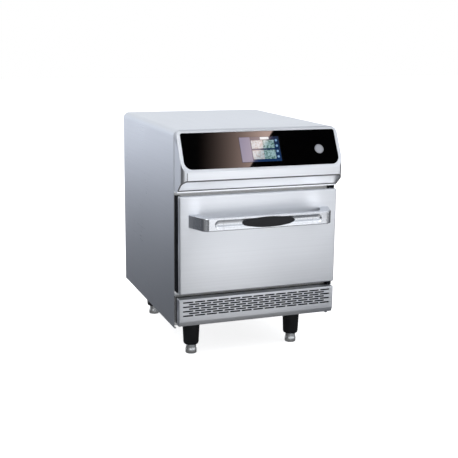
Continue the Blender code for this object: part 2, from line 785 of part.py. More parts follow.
def build_jet_plate(name, low_z):
    """Perforated plate that turns a plenum's air into jets."""
    half = cavity_half - GAP
    front = liner_front_y + GAP
    back = liner_back_y - LINER_SHEET - GAP
    plate = make_piece(name, box_mesh((-half, front, low_z), (half, back, low_z + JET_SHEET)),
                       INNER_STEEL)
    holes = bmesh.new()
    pitch_x = 2 * (half - JET_MARGIN) / (JET_COLUMNS - 1)
    pitch_y = (back - front - 2 * JET_MARGIN) / (JET_ROWS - 1)
    for x in spread(JET_COLUMNS, pitch_x):
        for y in spread(JET_ROWS, pitch_y):
            outline = ring_outline((x, (front + back) / 2 + y), JET_HOLE_RADIUS, SMALL_ROUND_STEPS)
            add_prism(holes, outline, "Z", low_z - OVERRUN, low_z + JET_SHEET + OVERRUN)
    shape_with(plate, make_cutter(name + "_holes", holes))


def ring_outline(centre, radius, steps):
    """A closed circle of points."""
    return arc(centre, radius, 0, 2 * pi * (steps - 1) / steps, steps - 1)


def build_catalyst():
    """Catalyst block in the suction hole of the liner's rear wall."""
    radius = SUCTION_RADIUS - GAP
    front = -LINER_SHEET - CATALYST_DEPTH / 2
    profile = rod_profile(radius, front, front + CATALYST_DEPTH)
    block = make_piece("catalyst_block",
                       turned_mesh(profile, ROUND_STEPS, along_y(0, liner_back_y, blower_z)), CERAMIC)
    cells = bmesh.new()
    for index in range(CATALYST_CELLS):
        angle = 2 * pi * index / CATALYST_CELLS
        centre = (CATALYST_RING_RADIUS * cos(angle), blower_z + CATALYST_RING_RADIUS * sin(angle))
        add_prism(cells, ring_outline(centre, CATALYST_CELL_RADIUS, ARC_STEPS), "Y",
                  liner_back_y + front - OVERRUN, liner_back_y + front + CATALYST_DEPTH + OVERRUN)
    add_prism(cells, ring_outline((0, blower_z), CATALYST_CELL_RADIUS, ARC_STEPS), "Y",
              liner_back_y + front - OVERRUN, liner_back_y + front + CATALYST_DEPTH + OVERRUN)
    shape_with(block, make_cutter("catalyst_cells", cells))


def build_rack():
    """Wire rack on its two side rails."""
    front = liner_front_y + RAIL_END_MARGIN
    back = liner_back_y - LINER_SHEET - RAIL_END_MARGIN
    outer = cavity_half - GAP
    for name, side in (("rack_rail_left", -1), ("rack_rail_right", 1)):
        ends = sorted((side * outer, side * (outer - RAIL_WIDTH)))
        make_piece(name, box_mesh((ends[0], front, rail_bottom_z), (ends[1], back, rail_top_z)),
                   INNER_STEEL)
    rack_z = rail_top_z + GAP + RACK_ROD_RADIUS
    half = cavity_half - RACK_SIDE_CLEARANCE - RACK_ROD_RADIUS
    front = liner_front_y + RACK_END_CLEARANCE
    back = liner_back_y - LINER_SHEET - RACK_END_CLEARANCE
    bars = bmesh.new()
    for x in spread(RACK_BARS, 2 * half / (RACK_BARS - 1)):
        outline = ring_outline((x, rack_z), RACK_ROD_RADIUS, ARC_STEPS)
        add_prism(bars, outline, "Y", front, back)
    rack = make_piece("oven_rack", bars, POLISHED)
    rods = bmesh.new()
    for y in (front + RACK_ROD_RADIUS + GAP, back - RACK_ROD_RADIUS - GAP):
        outline = ring_outline((y, rack_z), RACK_ROD_RADIUS, ARC_STEPS)
        add_prism(rods, outline, "X", -half, half)
    shape_with(rack, make_cutter("rack_cross_rods", rods), "UNION")


def build_blower():
    """Rear air box with the impeller, its shaft and motor, and the heater."""
    low = (-liner_half, fan_box_front_y, liner_low_z)
    high = (liner_half, fan_box_back_y, liner_high_z)
    box = make_open_piece("fan_housing", open_box(low, high, 1, -1), GALVANISED, Vector((0, 0, 1)))
    thicken(box, FAN_BOX_SHEET)
    hole_radius = SHAFT_RADIUS + SHAFT_HOLE_CLEARANCE
    hole = turned_mesh(rod_profile(hole_radius, -FAN_BOX_SHEET - OVERRUN, OVERRUN), ROUND_STEPS,
                       along_y(0, fan_box_back_y, blower_z))
    shape_with(box, make_cutter("shaft_hole", hole))

    axis_at = Vector((0, fan_box_front_y, blower_z))
    stand = along_y(0, 0, 0)
    disc_front = IMPELLER_FRONT + IMPELLER_BLADE_DEPTH
    disc_back = disc_front + IMPELLER_DISC
    bore = SHAFT_RADIUS + GAP
    hub_front = disc_back - IMPELLER_HUB_LENGTH
    wheel_profile = ((bore, hub_front), (IMPELLER_HUB_RADIUS, hub_front),
                     (IMPELLER_HUB_RADIUS, disc_front), (IMPELLER_RADIUS, disc_front),
                     (IMPELLER_RADIUS, disc_back), (bore, disc_back))
    wheel = turned_mesh(wheel_profile, ROUND_STEPS, stand, closed=True)
    wheel = make_piece("convection_impeller", wheel, INNER_STEEL, at=axis_at)
    blades = bmesh.new()
    for index in range(IMPELLER_BLADES):
        turn = Matrix.Rotation(2 * pi * index / IMPELLER_BLADES, 4, "Y")
        lean = Matrix.Translation((IMPELLER_EYE_RADIUS, 0, 0)) @ Matrix.Rotation(IMPELLER_SWEEP, 4, "Y")
        reach = (IMPELLER_RADIUS - IMPELLER_EYE_RADIUS) * cos(IMPELLER_SWEEP)
        corners = add_box(blades, (0, IMPELLER_FRONT, -IMPELLER_BLADE_SHEET / 2),
                          (reach, disc_front + IMPELLER_DISC / 2, IMPELLER_BLADE_SHEET / 2))
        bmesh.ops.transform(blades, matrix=turn @ lean, verts=corners)
    shape_with(wheel, make_cutter("impeller_blades", blades, at=axis_at), "UNION")

    shaft_front = hub_front - SHAFT_RADIUS
    shaft_back = FAN_BOX_DEPTH + GAP + SHAFT_IN_MOTOR
    shaft = turned_mesh(rod_profile(SHAFT_RADIUS, shaft_front, shaft_back), ROUND_STEPS, stand)
    make_piece("fan_shaft", shaft, POLISHED, at=axis_at)

    bore_end = SHAFT_IN_MOTOR + SHAFT_RADIUS
    motor_profile = ((0, MOTOR_LENGTH), (MOTOR_RADIUS, MOTOR_LENGTH), (MOTOR_RADIUS, MOTOR_FLANGE),
                     (MOTOR_FLANGE_RADIUS, MOTOR_FLANGE), (MOTOR_FLANGE_RADIUS, 0), (bore, 0),
                     (bore, bore_end), (0, bore_end))
    motor = turned_mesh(motor_profile, ROUND_STEPS, along_y(0, motor_front_y, blower_z))
    make_piece("fan_motor", motor, DARK_STEEL)

    build_heater()


def build_heater():
    """Tubular heater bent round the impeller, with its two legs on the rear wall."""
    radius = IMPELLER_RADIUS + HEATER_CLEARANCE + HEATER_TUBE_RADIUS
    ring_y = fan_box_front_y + IMPELLER_FRONT + IMPELLER_BLADE_DEPTH / 2
    end_y = fan_box_back_y - FAN_BOX_SHEET - GAP
    start = -pi / 2 + HEATER_OPENING / 2
    sweep = 2 * pi - HEATER_OPENING
    points = []
    for index in range(HEATER_POINTS):
        angle = start + sweep * index / (HEATER_POINTS - 1)
        points.append((radius * cos(angle), ring_y, blower_z + radius * sin(angle)))
    points = [(points[0][0], end_y, points[0][2])] + points
    points = points + [(points[-1][0], end_y, points[-1][2])]
    curve = bpy.data.curves.new("heating_element", "CURVE")
    curve.dimensions = "3D"
    curve.bevel_depth = HEATER_TUBE_RADIUS
    curve.bevel_resolution = 1
    curve.use_fill_caps = True
    spline = curve.splines.new("POLY")
    spline.points.add(len(points) - 1)
    for point, place_at in zip(spline.points, points):
        point.co = (*place_at, 1.0)
    curve.materials.append(make_look("heating_element", DARK_STEEL))
    heater = bpy.data.objects.new("heating_element", curve)
    bpy.context.scene.collection.objects.link(heater)


def build_microwave(mouth_cutter):
    """Waveguide, magnetron and the stirrer that spreads the field."""
    low = (-GUIDE_WIDTH / 2, cavity_middle_y - GUIDE_FORWARD, guide_bottom_z)
    high = (GUIDE_WIDTH / 2, cavity_middle_y + GUIDE_BACKWARD, guide_top_z)
    guide = make_piece("waveguide", box_mesh(low, high), GALVANISED)
    inside = box_mesh([value + GUIDE_SHEET for value in low], [value - GUIDE_SHEET for value in high])
    shape_with(guide, make_cutter("waveguide_inside", inside))
    shape_with(guide, mouth_cutter)
    magnetron_y = cavity_middle_y + GUIDE_BACKWARD - MAGNETRON_BACK - MAGNETRON_DEPTH / 2
    entries = bmesh.new()
    antenna_hole = ring_outline((0, magnetron_y), ANTENNA_RADIUS + ANTENNA_CLEARANCE, ROUND_STEPS)
    add_prism(entries, antenna_hole, "Z", guide_top_z - GUIDE_SHEET - OVERRUN, guide_top_z + OVERRUN)
    shaft_hole = ring_outline((0, cavity_middle_y), STIRRER_SHAFT_RADIUS + STIRRER_HOLE_CLEARANCE,
                              SMALL_ROUND_STEPS)
    add_prism(entries, shaft_hole, "Z", guide_top_z - GUIDE_SHEET - OVERRUN, guide_top_z + OVERRUN)
    shape_with(guide, make_cutter("waveguide_entries", entries))

    body_low = guide_top_z + GAP
    body = box_mesh((-MAGNETRON_WIDTH / 2, magnetron_y - MAGNETRON_DEPTH / 2, body_low),
                    (MAGNETRON_WIDTH / 2, magnetron_y + MAGNETRON_DEPTH / 2, body_low + MAGNETRON_HEIGHT))
    magnetron = make_piece("magnetron", body, DARK_STEEL)
    slots = bmesh.new()
    pitch = MAGNETRON_HEIGHT / (MAGNETRON_FINS + 1)
    for offset in spread(MAGNETRON_FINS, pitch):
        middle = body_low + MAGNETRON_HEIGHT / 2 + offset
        for side in (-1, 1):
            ends = sorted((side * (MAGNETRON_WIDTH / 2 - MAGNETRON_FIN_SLOT_DEPTH),
                           side * (MAGNETRON_WIDTH / 2 + OVERRUN)))
            add_box(slots, (ends[0], magnetron_y - MAGNETRON_DEPTH / 2 - OVERRUN,
                            middle - MAGNETRON_FIN_SLOT / 2),
                    (ends[1], magnetron_y + MAGNETRON_DEPTH / 2 + OVERRUN,
                     middle + MAGNETRON_FIN_SLOT / 2))
    shape_with(magnetron, make_cutter("magnetron_fins", slots))
    antenna = prism_mesh(ring_outline((0, magnetron_y), ANTENNA_RADIUS, ROUND_STEPS), "Z",
                         guide_top_z - ANTENNA_LENGTH, body_low + OVERRUN)
    shape_with(magnetron, make_cutter("antenna", antenna), "UNION")

    build_stirrer()


def build_stirrer():
    """Mode stirrer in the upper plenum, driven by a small motor on the waveguide."""
    vane_z = liner_roof_z - STIRRER_CLEARANCE
    axis_at = Vector((0, cavity_middle_y, vane_z))
    shaft_top = guide_top_z + GAP + STIRRER_SHAFT_IN_MOTOR - vane_z
    profile = ((0, -STIRRER_VANE_SHEET), (STIRRER_HUB_RADIUS, -STIRRER_VANE_SHEET),
               (STIRRER_HUB_RADIUS, STIRRER_VANE_SHEET), (STIRRER_SHAFT_RADIUS, STIRRER_VANE_SHEET),
               (STIRRER_SHAFT_RADIUS, shaft_top), (0, shaft_top))
    hub = make_piece("mode_stirrer", turned_mesh(profile, SMALL_ROUND_STEPS), POLISHED, at=axis_at)
    half = STIRRER_VANE_WIDTH / 2
    cross = []
    for index in range(STIRRER_VANES):
        turn = Matrix.Rotation(2 * pi * index / STIRRER_VANES, 2)
        for corner in ((STIRRER_RADIUS, -half), (STIRRER_RADIUS, half), (half, half)):
            cross.append(tuple(turn @ Vector(corner)))
    vanes = prism_mesh(cross, "Z", -STIRRER_VANE_SHEET / 2, STIRRER_VANE_SHEET / 2)
    shape_with(hub, make_cutter("stirrer_vanes", vanes, at=axis_at), "UNION")

    bore = STIRRER_SHAFT_RADIUS + GAP
    bore_top = STIRRER_SHAFT_IN_MOTOR + STIRRER_SHAFT_RADIUS
    motor_profile = ((0, STIRRER_MOTOR_HEIGHT), (STIRRER_MOTOR_RADIUS, STIRRER_MOTOR_HEIGHT),
                     (STIRRER_MOTOR_RADIUS, 0), (bore, 0), (bore, bore_top), (0, bore_top))
    motor = turned_mesh(motor_profile, ROUND_STEPS)
    make_piece("stirrer_motor", motor, GALVANISED, at=(0, cavity_middle_y, guide_top_z + GAP))


def build_supply():
    """Transformer, capacitor, control board and cooling fan."""
    low_z = base_top_z + GAP
    back = back_panel_in_y - TRANSFORMER_FROM_BACK
    front = back - TRANSFORMER_DEPTH
    top = insulation_low_z - TRANSFORMER_HEADROOM
    half = TRANSFORMER_WIDTH / 2
    core = box_mesh((-half, front, low_z), (half, back, top))
    transformer = make_piece("hv_transformer", core, DARK_STEEL)
    extras = bmesh.new()
    add_box(extras, (-half - TRANSFORMER_FOOT_WIDTH, front + TRANSFORMER_FOOT_WIDTH, low_z),
            (half + TRANSFORMER_FOOT_WIDTH, back - TRANSFORMER_FOOT_WIDTH, low_z + TRANSFORMER_FOOT))
    shape_with(transformer, make_cutter("transformer_foot", extras), "UNION")
    coil = box_mesh((TRANSFORMER_FOOT_WIDTH - half, front - TRANSFORMER_COIL_OUT,
                     low_z + TRANSFORMER_FOOT_WIDTH),
                    (half - TRANSFORMER_FOOT_WIDTH, back + TRANSFORMER_COIL_OUT,
                     top - TRANSFORMER_FOOT_WIDTH))
    shape_with(transformer, make_cutter("transformer_coil", coil), "UNION")

    bay_depth = back_panel_in_y - liner_front_y
    shelf_z = shelf_top_z + GAP
    middle_x = -oven_half + CAPACITOR_FROM_SIDE + CAPACITOR_WIDTH / 2
    middle_y = liner_front_y + bay_depth * CAPACITOR_DEPTH_SHARE
    can = box_mesh((middle_x - CAPACITOR_WIDTH / 2, middle_y - CAPACITOR_DEPTH / 2, shelf_z),
                   (middle_x + CAPACITOR_WIDTH / 2, middle_y + CAPACITOR_DEPTH / 2,
                    shelf_z + CAPACITOR_HEIGHT))
    capacitor = make_piece("hv_capacitor", can, GALVANISED)
    terminals = bmesh.new()
    for side in (-1, 1):
        x = middle_x + side * CAPACITOR_WIDTH / 4
        add_box(terminals, (x - CAPACITOR_TERMINAL / 2, middle_y - CAPACITOR_TERMINAL / 2,
                            shelf_z + CAPACITOR_HEIGHT - OVERRUN),
                (x + CAPACITOR_TERMINAL / 2, middle_y + CAPACITOR_TERMINAL / 2,
                 shelf_z + CAPACITOR_HEIGHT + CAPACITOR_TERMINAL_HEIGHT))
    shape_with(capacitor, make_cutter("capacitor_terminals", terminals), "UNION")

    build_control_board(bay_depth, shelf_z)
    build_cooling_fan()


def build_control_board(bay_depth, shelf_z):
    """Control board on four standoffs, with a row of relays."""
    high_x = oven_half - BOARD_FROM_SIDE
    low_x = high_x - BOARD_WIDTH
    middle_y = liner_front_y + bay_depth * BOARD_DEPTH_SHARE
    low_y = middle_y - BOARD_DEPTH / 2
    high_y = middle_y + BOARD_DEPTH / 2
    low_z = shelf_z + BOARD_STANDOFF
    board = make_piece("control_board", box_mesh((low_x, low_y, low_z),
                                                 (high_x, high_y, low_z + BOARD_SHEET)), BOARD_GREEN)
    extras = bmesh.new()
    for x in (low_x + BOARD_EDGE, high_x - BOARD_EDGE):
        for y in (low_y + BOARD_EDGE, high_y - BOARD_EDGE):
            add_prism(extras, ring_outline((x, y), BOARD_STANDOFF_RADIUS, ARC_STEPS), "Z", shelf_z,
                      low_z + BOARD_SHEET / 2)
    middle_x = (low_x + high_x) / 2
    for y in spread(RELAY_COUNT, (BOARD_DEPTH - RELAY_SIZE) / RELAY_COUNT):
        add_box(extras, (middle_x - RELAY_SIZE / 2, middle_y + y - RELAY_SIZE / 2,
                         low_z + BOARD_SHEET / 2),
                (middle_x + RELAY_SIZE / 2, middle_y + y + RELAY_SIZE / 2,
                 low_z + BOARD_SHEET + RELAY_HEIGHT))
    shape_with(board, make_cutter("board_parts", extras), "UNION")


def build_cooling_fan():
    """Axial fan behind the air inlet, on the base pan."""
    low_z = base_top_z + GAP
    high_z = insulation_low_z - FAN_FRAME_HEADROOM
    half = (high_z - low_z) / 2
    middle_z = low_z + half
    front = liner_front_y + FAN_FRAME_BEHIND
    back = front + FAN_FRAME_DEPTH
    frame = make_piece("cooling_fan_frame", box_mesh((-half, front, low_z), (half, back, high_z)),
                       BLACK_PLASTIC)
    bore_radius = half - FAN_FRAME_WALL
    bore = prism_mesh(ring_outline((0, middle_z), bore_radius, ROUND_STEPS), "Y",
                      front - OVERRUN, back + OVERRUN)
    shape_with(frame, make_cutter("fan_bore", bore))
    spider = bmesh.new()
    strut_front = back - FAN_STRUT_DEPTH
    add_box(spider, (-half + FAN_FRAME_WALL / 2, strut_front, middle_z - FAN_STRUT / 2),
            (half - FAN_FRAME_WALL / 2, back, middle_z + FAN_STRUT / 2))
    shape_with(frame, make_cutter("fan_strut", spider), "UNION")
    post = prism_mesh(ring_outline((0, middle_z), FAN_HUB_BORE - GAP, SMALL_ROUND_STEPS), "Y",
                      back - FAN_STRUT_DEPTH - FAN_HUB_LENGTH / 2, back - FAN_STRUT_DEPTH / 2)
    shape_with(frame, make_cutter("fan_post", post), "UNION")

    axis_at = Vector((0, strut_front - GAP - FAN_HUB_LENGTH, middle_z))
    profile = ((0, 0), (FAN_HUB_RADIUS, 0), (FAN_HUB_RADIUS, FAN_HUB_LENGTH),
               (FAN_HUB_BORE, FAN_HUB_LENGTH), (FAN_HUB_BORE, FAN_HUB_LENGTH / 3),
               (0, FAN_HUB_LENGTH / 3))
    hub = make_piece("cooling_fan_blades", turned_mesh(profile, ROUND_STEPS, along_y(0, 0, 0)),
                     BLACK_PLASTIC, at=axis_at)
    blades = bmesh.new()
    tip = sqrt((bore_radius - FAN_TIP_CLEARANCE) ** 2 - (FAN_BLADE_CHORD / 2) ** 2)
    for index in range(FAN_BLADES):
        turn = Matrix.Rotation(2 * pi * index / FAN_BLADES, 4, "Y")
        middle = Matrix.Translation((0, FAN_HUB_LENGTH / 2, 0))
        pitch = Matrix.Rotation(FAN_BLADE_PITCH, 4, "X")
        corners = add_box(blades, (FAN_HUB_RADIUS - FAN_BLADE_SHEET, -FAN_BLADE_SHEET / 2,
                                   -FAN_BLADE_CHORD / 2),
                          (tip, FAN_BLADE_SHEET / 2, FAN_BLADE_CHORD / 2))
        bmesh.ops.transform(blades, matrix=turn @ middle @ pitch, verts=corners)
    shape_with(hub, make_cutter("fan_blade_set", blades, at=axis_at), "UNION")


def build_legs():
    """Four black leg sleeves, each with a steel foot that screws out."""
    x = oven_half - LEG_SIDE_INSET
    places = {"front_left": (-x, front_y + LEG_FRONT_INSET), "front_right": (x, front_y + LEG_FRONT_INSET),
              "rear_left": (-x, back_y - LEG_REAR_INSET), "rear_right": (x, back_y - LEG_REAR_INSET)}
    bore = FOOT_RADIUS + GAP
    bore_top = FOOT_ENGAGED + SLEEVE_ABOVE_FOOT
    sleeve = ((0, SLEEVE_LENGTH), (SLEEVE_TOP_RADIUS, SLEEVE_LENGTH),
              (SLEEVE_BOTTOM_RADIUS, SLEEVE_LIP), (SLEEVE_BOTTOM_RADIUS - SLEEVE_LIP / 2, SLEEVE_LIP / 4),
              (SLEEVE_BOTTOM_RADIUS - SLEEVE_LIP, 0), (bore, 0), (bore, bore_top), (0, bore_top))
    foot_top = FOOT_SHOW + FOOT_ENGAGED
    foot = ((0, 0), (FOOT_RIM_RADIUS - FOOT_RIM_EDGE, 0), (FOOT_RIM_RADIUS, FOOT_RIM_EDGE),
            (FOOT_RIM_RADIUS, FOOT_RIM_HEIGHT), (FOOT_RADIUS, FOOT_RIM_HEIGHT + FOOT_RIM_EDGE),
            (FOOT_RADIUS, foot_top), (0, foot_top))
    for corner, (leg_x, leg_y) in places.items():
        make_piece("leg_sleeve_" + corner, turned_mesh(sleeve, ROUND_STEPS), BLACK_PLASTIC,
                   at=(leg_x, leg_y, FOOT_SHOW))
        make_piece("leg_foot_" + corner, turned_mesh(foot, ROUND_STEPS), POLISHED,
                   at=(leg_x, leg_y, 0))


def build_grille():
    """Slotted lower panel, and the air filter that it holds."""
    half = oven_half - GRILLE_SIDE_INSET
    back = front_y - FILTER_BEHIND + FILTER_OVERLAP
    front = back - GRILLE_DEPTH - FILTER_OVERLAP
    fold_z = grille_bottom_z + GRILLE_FOLD_HEIGHT
    profile = ((back, grille_bottom_z), (front + GRILLE_FOLD_BACK, grille_bottom_z), (front, fold_z),
               (front, grille_top_z), (back, grille_top_z))
    bm = prism_mesh(profile, "X", -half, half)
    bmesh.ops.recalc_face_normals(bm, faces=bm.faces[:])
    rear = max(bm.faces, key=lambda face: face.calc_center_median().y)
    bmesh.ops.delete(bm, geom=[rear], context="FACES_ONLY")
    grille = make_open_piece("grille_panel", bm, STAINLESS, Vector((0, 0, 1)))
    thicken(grille, GRILLE_SHEET)
    slots = bmesh.new()
    first = half - SLOT_END_MARGIN - SLOT_LENGTH / 2
    pitch = 2 * first / (SLOT_COLUMNS - 1)
    for row in range(SLOT_ROWS):
        z = grille_top_z - SLOT_FROM_TOP - row * SLOT_ROW_PITCH
        for x in spread(SLOT_COLUMNS - row % 2, pitch):
            add_prism(slots, slot_outline(x, z), "Y", front - OVERRUN, front + GRILLE_SHEET + OVERRUN)
    shape_with(grille, make_cutter("grille_slots", slots))

    filter_half = half - GRILLE_SHEET - GAP
    low_z = grille_bottom_z + GRILLE_SHEET + GAP
    high_z = grille_top_z - GRILLE_SHEET - GAP
    filter_front = front_y - FILTER_BEHIND
    filter_back = front_y - GAP
    air_filter = make_piece("air_filter", box_mesh((-filter_half, filter_front, low_z),
                                                   (filter_half, filter_back, high_z)), BLACK_PLASTIC)
    recess = box_mesh((FILTER_RIM - filter_half, filter_front + FILTER_WEB, low_z + FILTER_RIM),
                      (filter_half - FILTER_RIM, filter_back + OVERRUN, high_z - FILTER_RIM))
    shape_with(air_filter, make_cutter("filter_recess", recess))


def slot_outline(x, z):
    """A slot with pointed round ends, in six points."""
    half = SLOT_LENGTH / 2
    tip = SLOT_HEIGHT / 2
    return ((x + half, z), (x + half - tip, z + tip), (x + tip - half, z + tip), (x - half, z),
            (x + tip - half, z - tip), (x + half - tip, z - tip))


def build_door():
    """Drop-down door: steel skin, insulation, black tray, sealing panel and gasket."""
    half = oven_half - DOOR_SIDE_INSET
    lip = TRAY_SIDE_INSET + TRAY_SHEET
    bm = open_box((-half, skin_front_y, door_bottom_z), (half, skin_back_y, door_top_z), 1, 1, lip)
    skin = make_open_piece("door_skin", bm, STAINLESS, Vector((0, -1, 0)))
    soften(skin, SKIN_EDGE, SKIN_EDGE_STEPS)
    thicken(skin, SKIN_SHEET)
    bracket_outer = half - SKIN_SHEET - BRACKET_FROM_SKIN
    bracket_inner = bracket_outer - BRACKET_SHEET
    notches = bmesh.new()
    notch_front = hinge_y - BRACKET_RADIUS - BRACKET_NOTCH_CLEARANCE / 2
    notch_top = hinge_z + BRACKET_RADIUS + BRACKET_NOTCH_CLEARANCE
    for side in (-1, 1):
        ends = sorted((side * (bracket_inner - BRACKET_NOTCH_CLEARANCE),
                       side * (bracket_outer + BRACKET_NOTCH_CLEARANCE)))
        add_box(notches, (ends[0], notch_front, door_bottom_z - OVERRUN),
                (ends[1], skin_back_y + OVERRUN, notch_top))
    shape_with(skin, make_cutter("hinge_notches", notches))

    tray_half = oven_half - DOOR_SIDE_INSET - TRAY_SIDE_INSET
    tray_low = door_bottom_z + TRAY_END_INSET
    tray_high = door_top_z - TRAY_END_INSET
    bm = open_box((-tray_half, tray_front_y, tray_low), (tray_half, tray_back_y, tray_high), 1, -1)
    tray = make_open_piece("door_inner_tray", bm, BLACK_PLASTIC, Vector((0, 1, 0)))
    thicken(tray, TRAY_SHEET)

    slab_half = half - lip - GAP
    slab = box_mesh((-slab_half, skin_front_y + SKIN_SHEET + GAP, door_bottom_z + lip + GAP),
                    (slab_half, tray_back_y - TRAY_SHEET - GAP, door_top_z - lip - GAP))
    make_piece("door_insulation", slab, WOOL)

    panel_half_width = tray_half - PANEL_INSET
    panel = box_mesh((-panel_half_width, door_panel_front_y, tray_low + PANEL_INSET),
                     (panel_half_width, door_panel_back_y, tray_high - PANEL_INSET))
    panel = make_piece("door_inner_panel", panel, INNER_STEEL)
    plug_half = cavity_half - PLUG_CLEARANCE
    plug_low = mouth_bottom_z + PLUG_CLEARANCE
    plug_high = mouth_top_z - PLUG_CLEARANCE
    plug_back = front_y + PLUG_REACH
    plug = box_mesh((-plug_half, door_panel_front_y + PANEL_THICKNESS / 2, plug_low),
                    (plug_half, plug_back, plug_high))
    shape_with(panel, make_cutter("door_plug", plug), "UNION")
    recess = box_mesh((PLUG_SHEET - plug_half, door_panel_front_y - OVERRUN, plug_low + PLUG_SHEET),
                      (plug_half - PLUG_SHEET, plug_back - PLUG_SHEET, plug_high - PLUG_SHEET))
    shape_with(panel, make_cutter("plug_recess", recess))

    inner = cavity_half + GASKET_FROM_MOUTH
    outer = inner + GASKET_WIDTH
    low_z = mouth_bottom_z - GASKET_FROM_MOUTH
    high_z = mouth_top_z + GASKET_FROM_MOUTH
    gasket = box_mesh((-outer, gasket_front_y, low_z - GASKET_WIDTH),
                      (outer, front_y - GAP, high_z + GASKET_WIDTH))
    gasket = make_piece("door_gasket", gasket, SEAL_GREY)
    opening = box_mesh((-inner, gasket_front_y - OVERRUN, low_z), (inner, front_y + OVERRUN, high_z))
    shape_with(gasket, make_cutter("gasket_opening", opening))

    build_hinges(half, bracket_inner, bracket_outer)


def build_hinges(door_half, bracket_inner, bracket_outer):
    """Fixed brackets on the frame and the stub pins that the door turns on."""
    back = front_y - GAP
    outline = arc((hinge_y, hinge_z), BRACKET_RADIUS, pi / 2, 3 * pi / 2, ARC_STEPS)
    outline += [(back, hinge_z - BRACKET_RADIUS), (back, hinge_z + BRACKET_RADIUS)]
    for name, side in (("left", -1), ("right", 1)):
        ends = sorted((side * bracket_inner, side * bracket_outer))
        bracket = make_piece("hinge_bracket_" + name, prism_mesh(outline, "X", *ends), DARK_STEEL)
        foot_ends = sorted((side * (bracket_outer - BRACKET_FOOT_WIDTH), side * bracket_outer))
        foot = box_mesh((foot_ends[0], back - BRACKET_FOOT_SHEET, hinge_z - BRACKET_FOOT_HEIGHT / 2),
                        (foot_ends[1], back, hinge_z + BRACKET_FOOT_HEIGHT / 2))
        shape_with(bracket, make_cutter("bracket_foot_" + name, foot), "UNION")
        hole = turned_mesh(rod_profile(PIN_RADIUS + PIN_CLEARANCE, bracket_inner - OVERRUN,
                                       bracket_outer + OVERRUN), SMALL_ROUND_STEPS)
        turn = along_x(0, hinge_y, hinge_z)
        if side < 0:
            turn = turn @ Matrix.Rotation(pi, 4, "Y")
        bmesh.ops.transform(hole, matrix=turn, verts=hole.verts[:])
        shape_with(bracket, make_cutter("pin_hole_" + name, hole))
        pin_end = door_half - SKIN_SHEET - GAP
        pin = turned_mesh(rod_profile(PIN_RADIUS, pin_end - PIN_LENGTH, pin_end), SMALL_ROUND_STEPS,
                          along_x(0, 0, 0))
        if side < 0:
            bmesh.ops.transform(pin, matrix=Matrix.Rotation(pi, 4, "Z"), verts=pin.verts[:])
        make_piece("hinge_pin_" + name, pin, POLISHED, at=(0, hinge_y, hinge_z))


def build_columns():
    """Black columns on the cabinet's front, beside the door."""
    outer = oven_half - WRAPPER_SHEET - COLUMN_PAD_OUT
    inner = outer - COLUMN_WIDTH
    lip_back = skin_back_y - hinge_y
    corner_swing = hypot(lip_back, HINGE_RISE)
    front = hinge_y + corner_swing + COLUMN_CLEARANCE
    back = front_y - GAP
    low_z = grille_top_z + GAP
    high_z = header_bottom_z - GAP
    door_half = oven_half - DOOR_SIDE_INSET
    bracket_outer = door_half - SKIN_SHEET - BRACKET_FROM_SKIN
    for name, side in (("left", -1), ("right", 1)):
        ends = sorted((side * inner, side * outer))
        column = make_piece("front_column_" + name, box_mesh((ends[0], front, low_z),
                                                             (ends[1], back, high_z)), BLACK_PLASTIC)
        slot_ends = sorted((side * (inner - OVERRUN), side * (bracket_outer + GAP)))
        slot = box_mesh((slot_ends[0], front - OVERRUN, hinge_z - BRACKET_FOOT_HEIGHT / 2 - GAP),
                        (slot_ends[1], back + OVERRUN, hinge_z + BRACKET_FOOT_HEIGHT / 2 + GAP))
        shape_with(column, make_cutter("column_slot_" + name, slot))
        pads = bmesh.new()
        for share in COLUMN_PAD_SHARES:
            z = low_z + (high_z - low_z) * share
            pad_ends = sorted((side * (outer - COLUMN_WIDTH / 2), side * (outer + COLUMN_PAD_OUT)))
            add_box(pads, (pad_ends[0], front + COLUMN_PAD_DEPTH / 2, z - COLUMN_PAD_HEIGHT / 2),
                    (pad_ends[1], front + 3 * COLUMN_PAD_DEPTH / 2, z + COLUMN_PAD_HEIGHT / 2))
        shape_with(column, make_cutter("column_pads_" + name, pads), "UNION")


